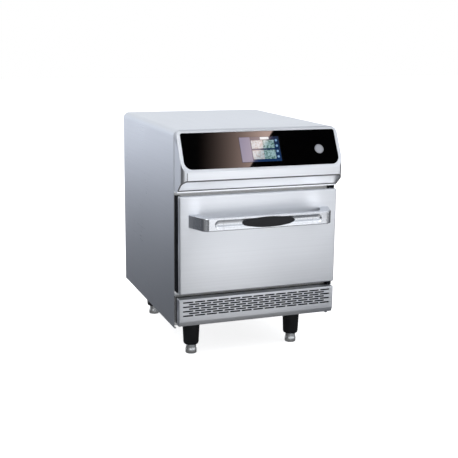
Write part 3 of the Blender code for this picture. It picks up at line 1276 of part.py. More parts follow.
def build_handle():
    """Cast handle: a middle bar, two end arms and a black elliptical insert."""
    front = skin_front_y - HANDLE_REACH
    back = front + HANDLE_DEPTH
    seam = HANDLE_HALF_LENGTH - ARM_LENGTH
    low_z = door_bottom_z + HANDLE_RISE - HANDLE_HEIGHT / 2
    high_z = low_z + HANDLE_HEIGHT
    middle_z = (low_z + high_z) / 2
    chord = sqrt(SCOOP_RADIUS ** 2 - (SCOOP_RADIUS - SCOOP_DEPTH) ** 2)
    straight = HANDLE_HALF_LENGTH - SCOOP_FROM_END - chord
    profile = arc((0, straight), SCOOP_RADIUS, pi / 2, 0, ARC_STEPS)
    profile += arc((0, -straight), SCOOP_RADIUS, 0, -pi / 2, ARC_STEPS)
    scoop = turned_mesh(profile, ROUND_STEPS, along_x(0, front - SCOOP_RADIUS + SCOOP_DEPTH, middle_z))
    scoop = make_cutter("handle_scoop", scoop)

    bar = box_mesh((-seam, front, low_z), (seam, back, high_z))
    long_edges = [edge for edge in bar.edges if abs(edge.verts[0].co.x - edge.verts[1].co.x) > seam]
    bmesh.ops.bevel(bar, geom=long_edges, offset=HANDLE_EDGE, segments=HANDLE_EDGE_STEPS, profile=0.5,
                    affect="EDGES", material=-1)
    bar = make_piece("handle_bar", bar, POLISHED)
    shape_with(bar, scoop)
    pocket = prism_mesh(ellipse_outline(INSERT_HALF_LENGTH + GAP, INSERT_HALF_HEIGHT + GAP, middle_z,
                                        INSERT_STEPS), "Y",
                        front - OVERRUN, front + INSERT_INSET + INSERT_DEPTH + GAP)
    shape_with(bar, make_cutter("insert_pocket", pocket))
    pad = prism_mesh(ellipse_outline(INSERT_HALF_LENGTH, INSERT_HALF_HEIGHT, middle_z, INSERT_STEPS), "Y",
                     front + INSERT_INSET, front + INSERT_INSET + INSERT_DEPTH)
    make_piece("handle_insert", pad, BLACK_PLASTIC)

    door_y = skin_front_y - GAP
    corner = HANDLE_HALF_LENGTH - HANDLE_CORNER
    door_outer = HANDLE_HALF_LENGTH + ARM_FLARE
    bar_inner = HANDLE_HALF_LENGTH - ARM_THICKNESS
    outline = [(seam + GAP, front)]
    outline += arc((corner, front + HANDLE_CORNER), HANDLE_CORNER, -pi / 2, 0, ARC_STEPS)
    outline += [(door_outer, door_y), (door_outer - ARM_FOOT, door_y), (bar_inner, back + ARM_CROTCH),
                (bar_inner - ARM_CROTCH, back), (seam + GAP, back)]
    for name, side in (("left", -1), ("right", 1)):
        sided = [(side * x, y) for x, y in outline]
        bm = prism_mesh(sided, "Z", low_z, high_z)
        rims = [edge for edge in bm.edges if is_arm_rim(edge, side, seam, door_y)]
        bmesh.ops.bevel(bm, geom=rims, offset=HANDLE_EDGE, segments=HANDLE_EDGE_STEPS, profile=0.5,
                        affect="EDGES", material=-1)
        arm = make_piece("handle_arm_" + name, bm, POLISHED)
        shape_with(arm, scoop)


def is_arm_rim(edge, side, seam, door_y):
    """Whether an edge runs along the arm's top or bottom outline, clear of its two end faces."""
    first = edge.verts[0].co
    second = edge.verts[1].co
    level = abs(first.z - second.z) < MERGE
    at_seam = max(first.x * side, second.x * side) < seam + 2 * GAP
    at_door = min(first.y, second.y) > door_y - MERGE
    return level and not at_seam and not at_door


def hang_door():
    """Let an empty on the hinge axis carry the door, its handle and their cutters, where they are."""
    pivot = bpy.data.objects.new("door_pivot", None)
    pivot.location = (0, hinge_y, hinge_z)
    bpy.context.scene.collection.objects.link(pivot)
    for name in DOOR_PIECES + DOOR_CUTTERS:
        piece = bpy.data.objects[name]
        piece.parent = pivot
        piece.matrix_parent_inverse = Matrix.Translation(pivot.location).inverted()


def header_path():
    """The header's side outline, from its top back edge round the front to its underside."""
    lip_top = header_bottom_z + HEADER_LIP
    band_bottom = lip_top + HEADER_BEVEL_HEIGHT
    band_top = band_bottom + HEADER_BAND_HEIGHT
    band_y = front_y - HEADER_OVERHANG
    top_y = front_y - HEADER_TOP_REACH
    lean = atan2(top_y - band_y, oven_top_z - band_top)
    turn = pi / 2 - lean
    setback = HEADER_TOP_RADIUS * sin(turn / 2) / cos(turn / 2)
    centre = (top_y + setback, oven_top_z - HEADER_TOP_RADIUS)
    points = [(front_y - GAP, oven_top_z)]
    points += arc(centre, HEADER_TOP_RADIUS, pi / 2, pi / 2 + turn, ARC_STEPS)
    under_y = front_y - HEADER_UNDER_REACH
    lip_y = under_y + HEADER_LIP_STEP
    points += [(band_y, band_top), (band_y, band_bottom), (under_y, lip_top), (lip_y, lip_top),
               (lip_y, header_bottom_z), (front_y - GAP, header_bottom_z)]
    return points, lean, band_y, band_top


def header_plan(inset):
    """The header's plan outline with its round front corners."""
    half = oven_half - HEADER_SIDE_INSET - inset
    front = front_y - HEADER_OVERHANG + inset
    radius = HEADER_CORNER - inset
    points = [(-half, front_y + OVERRUN)]
    points += arc((radius - half, front + radius), radius, pi, 3 * pi / 2, ARC_STEPS)
    points += arc((half - radius, front + radius), radius, -pi / 2, 0, ARC_STEPS)
    points.append((half, front_y + OVERRUN))
    return points


def build_header():
    """Sloping header box that carries the control glass."""
    path, lean, band_y, band_top = header_path()
    half = oven_half - HEADER_SIDE_INSET
    shell = make_piece("header_shell", prism_mesh(path, "X", -half, half), STAINLESS)
    low_z = header_bottom_z - OVERRUN
    high_z = oven_top_z + OVERRUN
    front = front_y - HEADER_OVERHANG - OVERRUN
    shape_with(shell, make_cutter("header_plan", prism_mesh(header_plan(0), "Z", low_z, high_z)),
               "INTERSECT")
    outline = cabinet_outline(HEADER_SIDE_INSET, low_z)
    shoulders = make_cutter("header_shoulders", prism_mesh(outline, "Y", front, front_y + OVERRUN))
    shape_with(shell, shoulders, "INTERSECT")
    inner = offset_path(path, HEADER_SHEET)
    inner = [(front_y + OVERRUN, inner[0][1])] + inner[1:-1] + [(front_y + OVERRUN, inner[-1][1])]
    hollow = make_cutter("header_hollow", prism_mesh(inner, "X", -half, half))
    inner_plan = make_cutter("header_inner_plan", prism_mesh(header_plan(HEADER_SHEET), "Z", low_z, high_z))
    shape_with(hollow, inner_plan, "INTERSECT")
    outline = cabinet_outline(HEADER_SIDE_INSET + HEADER_SHEET, low_z)
    inner_shoulders = prism_mesh(outline, "Y", front, front_y + 2 * OVERRUN)
    shape_with(hollow, make_cutter("header_inner_shoulders", inner_shoulders), "INTERSECT")
    shape_with(shell, hollow)

    slope = bpy.data.objects.new("control_slope", None)
    slope.location = (0, band_y, band_top)
    slope.rotation_euler = (-lean, 0, 0)
    bpy.context.scene.collection.objects.link(slope)
    build_controls(slope, shell, hollow)


def build_controls(slope, shell, hollow):
    """Glass, display and power button, in the slope's own frame: X across, Z up it, -Y out of it."""
    glass_half = oven_half - HEADER_SIDE_INSET - GLASS_SIDE_MARGIN
    low = GLASS_BOTTOM_MARGIN
    high = low + GLASS_LENGTH
    cut = rounded_outline(glass_half + GAP, low - GAP, high + GAP, GLASS_BOTTOM_CORNER + GAP,
                          GLASS_TOP_CORNER + GAP)
    opening = make_cutter("glass_opening", prism_mesh(cut, "Y", -OVERRUN, GLASS_THICKNESS + GAP), slope)
    shape_with(shell, opening)

    display_half = DISPLAY_WIDTH / 2
    display_low = DISPLAY_RISE - DISPLAY_HEIGHT / 2
    display_high = DISPLAY_RISE + DISPLAY_HEIGHT / 2
    button_x = oven_half - HEADER_SIDE_INSET - GLASS_SIDE_MARGIN - BUTTON_FROM_EDGE
    window = box_mesh((DISPLAY_SHIFT - display_half - GAP, -OVERRUN, display_low - GAP),
                      (DISPLAY_SHIFT + display_half + GAP, DISPLAY_THICKNESS + OVERRUN,
                       display_high + GAP))
    window = make_cutter("display_window", window, slope)
    ring_hole = prism_mesh(ring_outline((button_x, BUTTON_RISE), BUTTON_RING_RADIUS + GAP, ROUND_STEPS),
                           "Y", -OVERRUN, GLASS_THICKNESS + GAP / 2)
    ring_hole = make_cutter("ring_hole", ring_hole, slope)

    pane = rounded_outline(glass_half, low, high, GLASS_BOTTOM_CORNER, GLASS_TOP_CORNER)
    glass = make_piece("control_glass", prism_mesh(pane, "Y", 0, GLASS_THICKNESS), BLACK_GLASS, slope)
    shape_with(glass, window)
    shape_with(glass, ring_hole)

    backing = rounded_outline(glass_half + PLATE_OVERLAP, low - PLATE_OVERLAP, high + PLATE_OVERLAP,
                              GLASS_BOTTOM_CORNER + PLATE_OVERLAP, GLASS_TOP_CORNER + PLATE_OVERLAP)
    plate_back = GLASS_THICKNESS + GAP + PLATE_BEHIND_GLASS
    plate = make_piece("control_backplate", prism_mesh(backing, "Y", HEADER_SHEET + GAP, plate_back),
                       BLACK_PLASTIC, slope)
    shape_with(plate, opening)
    shape_with(plate, hollow, "INTERSECT")
    shape_with(plate, window)
    stem_hole = prism_mesh(ring_outline((button_x, BUTTON_RISE), BUTTON_STEM_RADIUS
                                        + BUTTON_STEM_CLEARANCE, SMALL_ROUND_STEPS),
                           "Y", 0, plate_back + OVERRUN)
    shape_with(plate, make_cutter("stem_hole", stem_hole, slope))

    module = box_mesh((DISPLAY_SHIFT - display_half, 0, display_low),
                      (DISPLAY_SHIFT + display_half, DISPLAY_THICKNESS, display_high))
    make_piece("touch_display", module, SCREEN_BLUE, slope)
    board_front = DISPLAY_THICKNESS + GAP
    board_back = board_front + BOARD_SHEET
    board = box_mesh((DISPLAY_SHIFT - DRIVER_BOARD_WIDTH / 2, board_front,
                      DISPLAY_RISE - DRIVER_BOARD_HEIGHT / 2),
                     (DISPLAY_SHIFT + DRIVER_BOARD_WIDTH / 2, board_back,
                      DISPLAY_RISE + DRIVER_BOARD_HEIGHT / 2))
    board = make_piece("display_board", board, BOARD_GREEN, slope)
    chip = box_mesh((DISPLAY_SHIFT - DRIVER_CHIP / 2, board_back - BOARD_SHEET / 2,
                     DISPLAY_RISE - DRIVER_CHIP / 2),
                    (DISPLAY_SHIFT + DRIVER_CHIP / 2, board_back + DRIVER_CHIP_HEIGHT,
                     DISPLAY_RISE + DRIVER_CHIP / 2))
    shape_with(board, make_cutter("driver_chip", chip, slope), "UNION")

    build_button(slope, button_x, plate_back)


def build_button(slope, button_x, plate_back):
    """Bezel ring and the sprung power button, which travels into the slope."""
    button_at = (button_x, 0, BUTTON_RISE)
    bore = BUTTON_RING_RADIUS - BUTTON_RING_WALL
    ring_profile = ((bore, -BUTTON_RING_PROUD), (BUTTON_RING_RADIUS, -BUTTON_RING_PROUD),
                    (BUTTON_RING_RADIUS, GLASS_THICKNESS), (bore, GLASS_THICKNESS))
    ring = turned_mesh(ring_profile, ROUND_STEPS, along_y(0, 0, 0), closed=True)
    make_piece("button_ring", ring, POLISHED, slope, button_at)
    cap_radius = bore - GAP
    cap_back = BUTTON_CAP_THICKNESS - BUTTON_CAP_PROUD
    stem_back = plate_back + BUTTON_STEM_BEHIND
    cap_profile = ((0, -BUTTON_CAP_PROUD), (cap_radius, -BUTTON_CAP_PROUD), (cap_radius, cap_back),
                   (BUTTON_STEM_RADIUS, cap_back), (BUTTON_STEM_RADIUS, stem_back), (0, stem_back))
    button = turned_mesh(cap_profile, ROUND_STEPS, along_y(0, 0, 0))
    make_piece("power_button", button, POLISHED, slope, button_at)


def main():
    """Build the whole oven."""
    clear_scene()
    build_wrapper()
    build_base()
    build_front_frame()
    build_back_panel()
    shelf, mouth_cutter = build_shelf()
    build_cavity(mouth_cutter, shelf)
    build_rack()
    build_blower()
    build_microwave(mouth_cutter)
    build_supply()
    build_legs()
    build_grille()
    build_door()
    build_columns()
    build_handle()
    hang_door()
    build_header()


main()
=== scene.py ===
from math import atan2, cos, pi, radians, sin, sqrt

import bmesh
import bpy
from mathutils import Matrix, Vector


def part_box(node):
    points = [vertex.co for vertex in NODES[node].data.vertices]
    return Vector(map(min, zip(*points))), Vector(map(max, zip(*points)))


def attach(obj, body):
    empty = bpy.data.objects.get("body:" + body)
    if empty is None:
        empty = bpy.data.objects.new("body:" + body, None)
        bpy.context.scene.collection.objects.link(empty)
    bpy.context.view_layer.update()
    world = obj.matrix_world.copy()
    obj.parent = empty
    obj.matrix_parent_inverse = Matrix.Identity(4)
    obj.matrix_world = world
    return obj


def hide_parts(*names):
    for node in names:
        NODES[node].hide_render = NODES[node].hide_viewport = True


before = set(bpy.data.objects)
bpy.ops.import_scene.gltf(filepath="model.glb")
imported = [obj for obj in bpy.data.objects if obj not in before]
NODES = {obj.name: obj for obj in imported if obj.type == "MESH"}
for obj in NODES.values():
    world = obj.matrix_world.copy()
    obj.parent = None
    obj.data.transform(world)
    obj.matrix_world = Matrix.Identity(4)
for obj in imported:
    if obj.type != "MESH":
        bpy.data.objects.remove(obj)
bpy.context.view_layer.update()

bl_info = {
    "name": "Speed Oven Finish",
    "version": (1, 0, 0),
    "blender": (4, 5, 0),
    "location": "View3D > Sidebar > Oven",
    "description": "Fine meshes, finishes and a plain studio for a countertop speed oven",
    "category": "Object",
}

MERGE = 0.000002
SIDES = (("left", -1), ("right", 1))
CORNERS = ("front_left", "front_right", "rear_left", "rear_right")

# The clearance of pieces that are set into each other, and how far a tool reaches past what it cuts
FIT = 0.0003
OVERSHOOT = 0.01

WRAP_LOW, WRAP_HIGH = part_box("outer_wrapper")
HEAD_LOW, HEAD_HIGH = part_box("header_shell")
DOOR_LOW, DOOR_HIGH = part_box("door_skin")
BAR_LOW, BAR_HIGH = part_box("handle_bar")
PAD_LOW, PAD_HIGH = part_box("handle_insert")
GRILLE_LOW, GRILLE_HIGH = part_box("grille_panel")
RACK_LOW, RACK_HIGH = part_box("oven_rack")
BACK_LOW, BACK_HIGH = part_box("back_panel")
GLAND_LOW, GLAND_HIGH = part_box("cable_gland")

# The header's side shape: heights of its lip, bevel and band, then the slope above them
LIP_TOP = HEAD_LOW.z + 0.004
LIP_LOW = HEAD_LOW.z - 0.0015
LIP_STEP = 0.0015
BAND_LOW = LIP_TOP + 0.028
BAND_HIGH = BAND_LOW + 0.022
UNDER_Y = WRAP_LOW.y - 0.0297
TOP_Y = WRAP_LOW.y - 0.0136
LEAN = atan2(TOP_Y - HEAD_LOW.y, WRAP_HIGH.z - BAND_HIGH)
SLOPE = Matrix.Translation((0, HEAD_LOW.y, BAND_HIGH)) @ Matrix.Rotation(-LEAN, 4, "X")

# The header's wall, its gap before the wrapper, how far the tool for its hollow goes past that gap, and
# the radii of its upright corners, shoulders, top edge and folds
HEAD_WALL = 0.0015
HEAD_GAP = 0.0010
HOLLOW_PAST = 0.006
HEAD_CORNER = 0.0155
HEAD_SHOULDER = 0.016
HEAD_CREST = 0.0056
HEAD_FOLD = 0.0012

# The controls, in the slope's own frame: X across, Z up the slope, -Y out of it
GLASS_HALF = 0.210
GLASS_CORNERS = (0.0215, 0.006)
GLASS_BASE = 0.0073
GLASS_TOP = 0.1030
GLASS_THICK = 0.004
SCREEN_HALF = (0.05375, 0.033)
SCREEN_AT = (-0.0035, 0.0545)
SCREEN_THICK = 0.008
BUTTON_AT = (0.159, 0.0495)
BUTTON_RING = 0.01225
BUTTON_BORE = 0.01045

CAMERA_AT = (-0.86097, -2.34071, 0.85249)
CAMERA_TURN = (0.355, -0.215, 0.010)
CAMERA_LENS = 70.608


def length(name, default, low, high, description):
    """A length that the panel offers."""
    return bpy.props.FloatProperty(name=name, default=default, min=low, max=high, unit="LENGTH",
                                   description=description)


def tint(name, default, description):
    """A colour that the panel offers."""
    return bpy.props.FloatVectorProperty(name=name, subtype="COLOR", size=3, min=0, max=1, default=default,
                                         description=description)


class OvenSizes(bpy.types.PropertyGroup):
    """Sizes of the fine edges and small details."""
    shoulder: length("Shoulder Radius", 0.017, 0.005, 0.020, "Round fold between the top and the sides")
    sheet: length("Sheet", 0.0012, 0.0005, 0.002, "Thickness of the outer sheets")
    door_edge: length("Door Edge", 0.0038, 0.001, 0.006, "Round edge of the door's skin")
    handle_edge: length("Handle Edge", 0.0025, 0.0005, 0.004, "Round long edges of the handle")
    small_edge: length("Small Edge", 0.0003, 0.0001, 0.001, "Broken edge of cut sheets")
    trim: length("Glass Trim", 0.0014, 0.0005, 0.003, "Width of the bright trim round the glass")


class OvenColours(bpy.types.PropertyGroup):
    """Colours of the finishes."""
    steel: tint("Stainless", (0.78, 0.80, 0.84), "Outer stainless sheet")
    inner: tint("Inner Steel", (0.50, 0.51, 0.52), "Steel of the cooking space")
    zinc: tint("Galvanised", (0.55, 0.57, 0.58), "Zinc coated chassis sheet")
    bright: tint("Polished", (0.60, 0.62, 0.66), "Polished castings")
    black: tint("Black Plastic", (0.006, 0.0065, 0.0075), "Satin black plastic")
    screen: tint("Screen", (0.004, 0.028, 0.095), "Ground of the screen")


def new_material(name):
    """A material and its nodes."""
    material = bpy.data.materials.new(name)
    material.use_nodes = True
    return material, material.node_tree


def give(tree, socket, value):
    """Link an input to another socket, or give it a constant; a tuple is a colour."""
    if isinstance(value, bpy.types.NodeSocket):
        tree.links.new(value, socket)
    else:
        socket.default_value = (*value, 1) if isinstance(value, tuple) else value


def add_node(tree, kind, inputs=(), **settings):
    """The outputs of a new node with the given inputs and settings."""
    node = tree.nodes.new("ShaderNode" + kind)
    for name, value in settings.items():
        setattr(node, name, value)
    for name, value in dict(inputs).items():
        give(tree, node.inputs[name], value)
    return node.outputs


def feed(tree, name, value):
    """Give an input of the shader a link or a constant."""
    give(tree, tree.nodes["Principled BSDF"].inputs[name], value)


def base(tree, colour, roughness, metallic=0.0):
    """Give the shader one colour, roughness and metallic value."""
    feed(tree, "Base Color", colour)
    feed(tree, "Roughness", roughness)
    feed(tree, "Metallic", metallic)


def scaled(colour, share):
    """A colour made lighter or darker by a share."""
    return tuple(min(1.0, channel * share) for channel in colour)


def pattern(tree, kind, scale, **inputs):
    """A pattern on the object's own coordinates, with one scale or a scale for each axis."""
    where = add_node(tree, "TexCoord")["Object"]
    scales = scale if isinstance(scale, list) else [scale] * 3
    spot = add_node(tree, "Mapping", {"Vector": where, "Scale": scales})["Vector"]
    return add_node(tree, kind, {"Vector": spot, "Scale": 1.0, **inputs})


def noise(tree, scale, detail=2.0):
    """The value of a noise on the object's own coordinates."""
    return pattern(tree, "TexNoise", scale, Detail=detail)["Fac"]


def axes_of(tree, kind="Object"):
    """The X, Y and Z of a kind of coordinates."""
    return add_node(tree, "SeparateXYZ", {"Vector": add_node(tree, "TexCoord")[kind]})


def spread_value(tree, value, low, high, start=0.3, end=0.7):
    """Stretch a pattern's middle values over a range."""
    return add_node(tree, "MapRange", {"Value": value, "From Min": start, "From Max": end, "To Min": low,
                                       "To Max": high})["Result"]


def between(tree, value, first, second):
    """What goes from one to another of two colours or sockets as a value goes from 0 to 1."""
    return add_node(tree, "Mix", {"Factor": value, "A": first, "B": second}, data_type="RGBA")["Result"]


def add_up(tree, first, second):
    """The sum of two values."""
    return add_node(tree, "Math", {0: first, 1: second}, operation="ADD")["Value"]


def relief(tree, value, strength, depth):
    """Turn a pattern into a bump on the shader's normal."""
    bump = add_node(tree, "Bump", {"Strength": strength, "Distance": depth, "Height": value})
    feed(tree, "Normal", bump["Normal"])


def brushed(tree, colour, roughness, along, spread=0.3, shade=0.97):
    """Brushed sheet steel, whose fine lines run along one axis and spread its shine across them."""
    base(tree, colour, roughness, 1.0)
    index = "XYZ".index(along)
    line_scale = [1400.0] * 3
    line_scale[index] = 6.0
    streak_scale = [260.0] * 3
    streak_scale[index] = 1.5
    smudge_scale = 7.0
    lines = noise(tree, line_scale)
    streaks = spread_value(tree, noise(tree, streak_scale), 0, 1)
    smudge = spread_value(tree, noise(tree, smudge_scale, 3.0), -0.015, 0.015)
    feed(tree, "Base Color", between(tree, streaks, scaled(colour, shade), colour))
    grain = spread_value(tree, lines, roughness - 0.03, roughness + 0.04)
    feed(tree, "Roughness", add_up(tree, grain, smudge))
    feed(tree, "Anisotropic", spread)
    axis = [0.0] * 3
    axis[index] = 1.0
    normal = add_node(tree, "NewGeometry")["Normal"]
    across = add_node(tree, "VectorMath", {0: normal, 1: axis}, operation="CROSS_PRODUCT")
    feed(tree, "Tangent", across["Vector"])
    relief(tree, lines, 0.12, 0.00005)


def cast_metal(tree, colour, roughness, waviness=0.05):
    """Smooth metal with slight unevenness and faint handling marks."""
    mark_scale, wave_scale = 22.0, 15.0
    base(tree, colour, roughness, 1.0)
    marks = noise(tree, mark_scale)
    feed(tree, "Roughness", spread_value(tree, marks, roughness * 0.93, roughness * 1.08))
    feed(tree, "Base Color", between(tree, spread_value(tree, marks, 0, 1), scaled(colour, 0.97), colour))
    relief(tree, noise(tree, wave_scale), waviness, 0.0004)


def galvanised(tree, colour):
    """Zinc coated sheet with its crystal pattern."""
    crystal_scale, grain_scale = 110.0, 900.0
    base(tree, colour, 0.45, 0.9)
    cells = pattern(tree, "TexVoronoi", crystal_scale)["Color"]
    shade = add_node(tree, "SeparateColor", {"Color": cells})
    feed(tree, "Base Color", between(tree, shade["Red"], scaled(colour, 0.82), colour))
    feed(tree, "Roughness", spread_value(tree, shade["Green"], 0.36, 0.56, 0, 1))
    relief(tree, noise(tree, grain_scale), 0.1, 0.00005)


def moulded(tree, colour, roughness, grain=1400.0, light=1.6, strength=0.25, shine=0.5):
    """Plastic, rubber, coating or wool: a fine grain with a slight change of colour."""
    cloud_scale = 30.0
    base(tree, colour, roughness)
    grains = noise(tree, grain, 3.0)
    clouds = spread_value(tree, noise(tree, cloud_scale, 3.0), 0, 1)
    feed(tree, "Specular IOR Level", shine)
    feed(tree, "Base Color", between(tree, clouds, colour, scaled(colour, light)))
    feed(tree, "Roughness", spread_value(tree, grains, roughness * 0.85, min(1.0, roughness * 1.15)))
    relief(tree, grains, strength, 0.0002)


def black_glass(tree):
    """Glossy black glass with faint wiping marks."""
    base(tree, (0.0006, 0.0006, 0.0007), 0.05)
    marks = noise(tree, [12.0, 40.0, 40.0], 4.0)
    feed(tree, "Roughness", spread_value(tree, marks, 0.01, 0.025))


def glowing(tree, colour, strength=1.0):
    """A part of the screen: dark and glossy, with a light of its own."""
    base(tree, (0.004, 0.004, 0.005), 0.05)
    feed(tree, "Emission Color", colour)
    feed(tree, "Emission Strength", strength)


def lit(tree, low, high, strength=1.0):
    """A lit part of the screen, shaded from the screen's lower edge to its upper edge."""
    middle, half = SCREEN_AT[1], SCREEN_HALF[1]
    bottom, top = [(SLOPE @ Vector((0, 0, z))).z for z in (middle - half, middle + half)]
    height = spread_value(tree, axes_of(tree)["Z"], 0, 1, bottom, top)
    glowing(tree, between(tree, height, low, high), strength)


def pictured(tree, pale, deep):
    """A lit tile with a soft mottle of two colours, like a small picture with nothing to read."""
    spots = spread_value(tree, noise(tree, 210.0, 4.0), 0, 1, 0.42, 0.62)
    glowing(tree, between(tree, spots, pale, deep))


def finishes():
    """Every finish: its slot, the function that makes it, and the values for that function."""
    colours = bpy.context.scene.oven_colours
    names = ("steel", "inner", "zinc", "bright", "black", "screen")
    steel, inner, zinc, bright, black, screen = [tuple(getattr(colours, name)) for name in names]
    return {
        "stainless across": ("brushed_stainless", brushed, steel, 0.38, "X", 0.75),
        "stainless lengthwise": ("brushed_stainless", brushed, steel, 0.31, "Y"),
        "panel steel": ("brushed_stainless", brushed, scaled(steel, 0.86), 0.38, "X", 0.75),
        "inner steel": ("inner_steel", brushed, inner, 0.36, "X", 0.5, 0.85),
        "plate steel": ("inner_steel", brushed, inner, 0.22, "X", 0.2, 0.9),
        "galvanised": ("galvanised_sheet", galvanised, zinc),
        "polished": ("polished_metal", cast_metal, bright, 0.25),
        "button metal": ("polished_metal", cast_metal, (0.40, 0.41, 0.44), 0.42, 0.4),
        "foot metal": ("polished_metal", cast_metal, (0.80, 0.81, 0.82), 0.34),
        "satin metal": ("polished_metal", cast_metal, (0.60, 0.61, 0.63), 0.30),
        "black plastic": ("black_plastic", moulded, black, 0.45, 1400.0, 1.6, 0.25, 0.2),
        "black column": ("black_plastic", moulded, (0.003, 0.0035, 0.006), 0.60, 1400.0, 1.6, 0.25, 0.06),
        "black pad": ("black_plastic", moulded, (0.006, 0.006, 0.008), 0.34, 1800.0, 1.3, 0.1, 0.22),
        "black glass": ("black_glass", black_glass),
        "screen ground": ("screen", lit, screen, scaled(screen, 0.45)),
        # A lavender glow over the screen's plain dark blue left part: a painted reflection
        "screen panel": ("screen", lit, (0.15, 0.16, 0.26), (0.13, 0.14, 0.24)),
        "screen light": ("screen", lit, (0.55, 0.70, 0.72), (0.75, 0.85, 0.90), 0.8),
        "screen mark": ("screen", lit, (0.26, 0.44, 0.66), (0.16, 0.30, 0.48)),
        "screen tile": ("screen", pictured, (0.30, 0.45, 0.48), (0.05, 0.13, 0.11)),
        "screen pale tile": ("screen", pictured, (0.46, 0.52, 0.56), (0.34, 0.33, 0.33)),
        "circuit board": ("circuit_board", moulded, (0.02, 0.13, 0.05), 0.45, 700.0, 1.3),
        # The seal finish is also worn by the header's dark beads, as painted shade in its seams
        "seal": ("seal", moulded, (0.03, 0.03, 0.032), 0.80, 1800.0),
        "wool": ("wool", moulded, (0.60, 0.53, 0.38), 0.95, 500.0, 1.2, 1.0),
        "coated steel": ("dark_steel", moulded, (0.07, 0.07, 0.075), 0.42, 900.0, 1.2),
        "heater": ("dark_steel", cast_metal, (0.22, 0.20, 0.19), 0.45),
        "ceramic": ("ceramic", moulded, (0.48, 0.41, 0.33), 0.92, 600.0, 1.15, 0.8),
    }


def finish(look):
    """The material of a finish, made the first time it is asked for, and its slot."""
    slot, maker, *values = finishes()[look]
    if look not in bpy.data.materials:
        maker(new_material(look)[1], *values)
    return bpy.data.materials[look], slot


def repaint(node, look):
    """Give a node that keeps its own mesh a finish."""
    data = NODES[node].data
    data.materials.clear()
    data.materials.append(finish(look)[0])


def mesh_from(name, bm):
    """A mesh with what was made, which is then given up."""
    mesh = bpy.data.meshes.new(name)
    bm.to_mesh(mesh)
    bm.free()
    return mesh


def add_object(name, data):
    """A new object in the scene."""
    made = bpy.data.objects.new(name, data)
    bpy.context.scene.collection.objects.link(made)
    return made


def evaluated(thing):
    """A mesh to work on, from what an object looks like with its modifiers."""
    bm = bmesh.new()
    bm.from_mesh(thing.evaluated_get(bpy.context.evaluated_depsgraph_get()).to_mesh())
    return bm


def settle(name, bm, look, body, nodes, angle):
    """Make a piece of a mesh, on its body, in place of its nodes, with its finish."""
    material, slot = finish(look)
    mesh = mesh_from(name, bm)
    mesh.shade_smooth()
    mesh.set_sharp_from_angle(angle=radians(angle))
    mesh.materials.append(material)
    piece = add_object(name, mesh)
    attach(piece, body)
    if nodes:
        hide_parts(*nodes)
    return piece


def show(name, bm, look, body, nodes=(), outward=None):
    """Put a new mesh on its body, in place of the nodes that it stands for."""
    bmesh.ops.remove_doubles(bm, verts=bm.verts[:], dist=MERGE)
    if outward is None:
        bmesh.ops.recalc_face_normals(bm, faces=bm.faces[:])
    else:
        turn_out(bm, outward)
    return settle(name, bm, look, body, nodes, 32)


def dress(name, node, look, body, edge, segments=2, between_z=()):
    """A merged copy of a node, kept between two heights if given, with broken edges and a finish."""
    bm = bmesh.new()
    bm.from_mesh(NODES[node].data)
    bmesh.ops.remove_doubles(bm, verts=bm.verts[:], dist=0.00001)
    bmesh.ops.dissolve_limit(bm, angle_limit=radians(0.5), verts=bm.verts[:], edges=bm.edges[:])
    for height, way in zip(between_z, (-1, 1)):
        parts = bm.verts[:] + bm.edges[:] + bm.faces[:]
        cut = bmesh.ops.bisect_plane(bm, geom=parts, plane_co=(0, 0, height), plane_no=(0, 0, way),
                                     clear_outer=True)
        rim = [item for item in cut["geom_cut"] if isinstance(item, bmesh.types.BMEdge)]
        bmesh.ops.edgenet_fill(bm, edges=rim)
    piece = settle(name, bm, look, body, [node], 30)
    if edge:
        break_edges(piece, edge, 40, segments)


def turn_out(bm, way):
    """Turn an open surface so that its furthest face along a way points that way."""
    bm.normal_update()
    furthest = max(bm.faces, key=lambda face: face.calc_center_median().dot(way))
    if furthest.normal.dot(way) < 0:
        bmesh.ops.reverse_faces(bm, faces=bm.faces[:])
    bm.normal_update()


def add_sheet(piece, thickness):
    """Give an open surface its thickness, inwards."""
    modifier = piece.modifiers.new("Sheet", "SOLIDIFY")
    modifier.thickness = thickness
    modifier.offset = -1.0
    modifier.use_even_offset = True


def break_edges(piece, width, angle=50, segments=2):
    """Round off the edges of a piece that are sharper than an angle."""
    modifier = piece.modifiers.new("Edges", "BEVEL")
    modifier.width = width
    modifier.segments = segments
    modifier.limit_method = "ANGLE"
    modifier.angle_limit = radians(angle)
    modifier.harden_normals = True


def flatten_shading(piece):
    """Let the flat faces of a rounded casting shade as flat ones."""
    modifier = piece.modifiers.new("Flat Faces", "WEIGHTED_NORMAL")
    modifier.keep_sharp = True


def combine(bm, tools, operation="DIFFERENCE"):
    """Cut a mesh by others, or join or intersect them, and return the new mesh."""
    made = []
    for source in [bm, *tools]:
        bmesh.ops.recalc_face_normals(source, faces=source.faces[:])
        made.append(add_object("blank", mesh_from("blank", source)))
    for tool in made[1:]:
        modifier = made[0].modifiers.new("Tool", "BOOLEAN")
        modifier.operation = operation
        modifier.object = tool
    result = evaluated(made[0])
    for blank in made:
        mesh = blank.data
        bpy.data.objects.remove(blank)
        bpy.data.meshes.remove(mesh)
    return result


def add_to(bm, made):
    """Add one mesh to another, if there is another."""
    if bm is None:
        return made
    mesh = mesh_from("blank", made)
    bm.from_mesh(mesh)
    bpy.data.meshes.remove(mesh)
    return bm


def move(bm, matrix):
    """Place a mesh."""
    bmesh.ops.transform(bm, matrix=matrix, verts=bm.verts[:])
    return bm


def block(low, high, bm=None):
    """A box from its lowest to its highest corner."""
    bm = bm or bmesh.new()
    low, high = Vector(low), Vector(high)
    size = Matrix.Diagonal((*(high - low), 1))
    bmesh.ops.create_cube(bm, size=1, matrix=Matrix.Translation((low + high) / 2) @ size)
    return bm


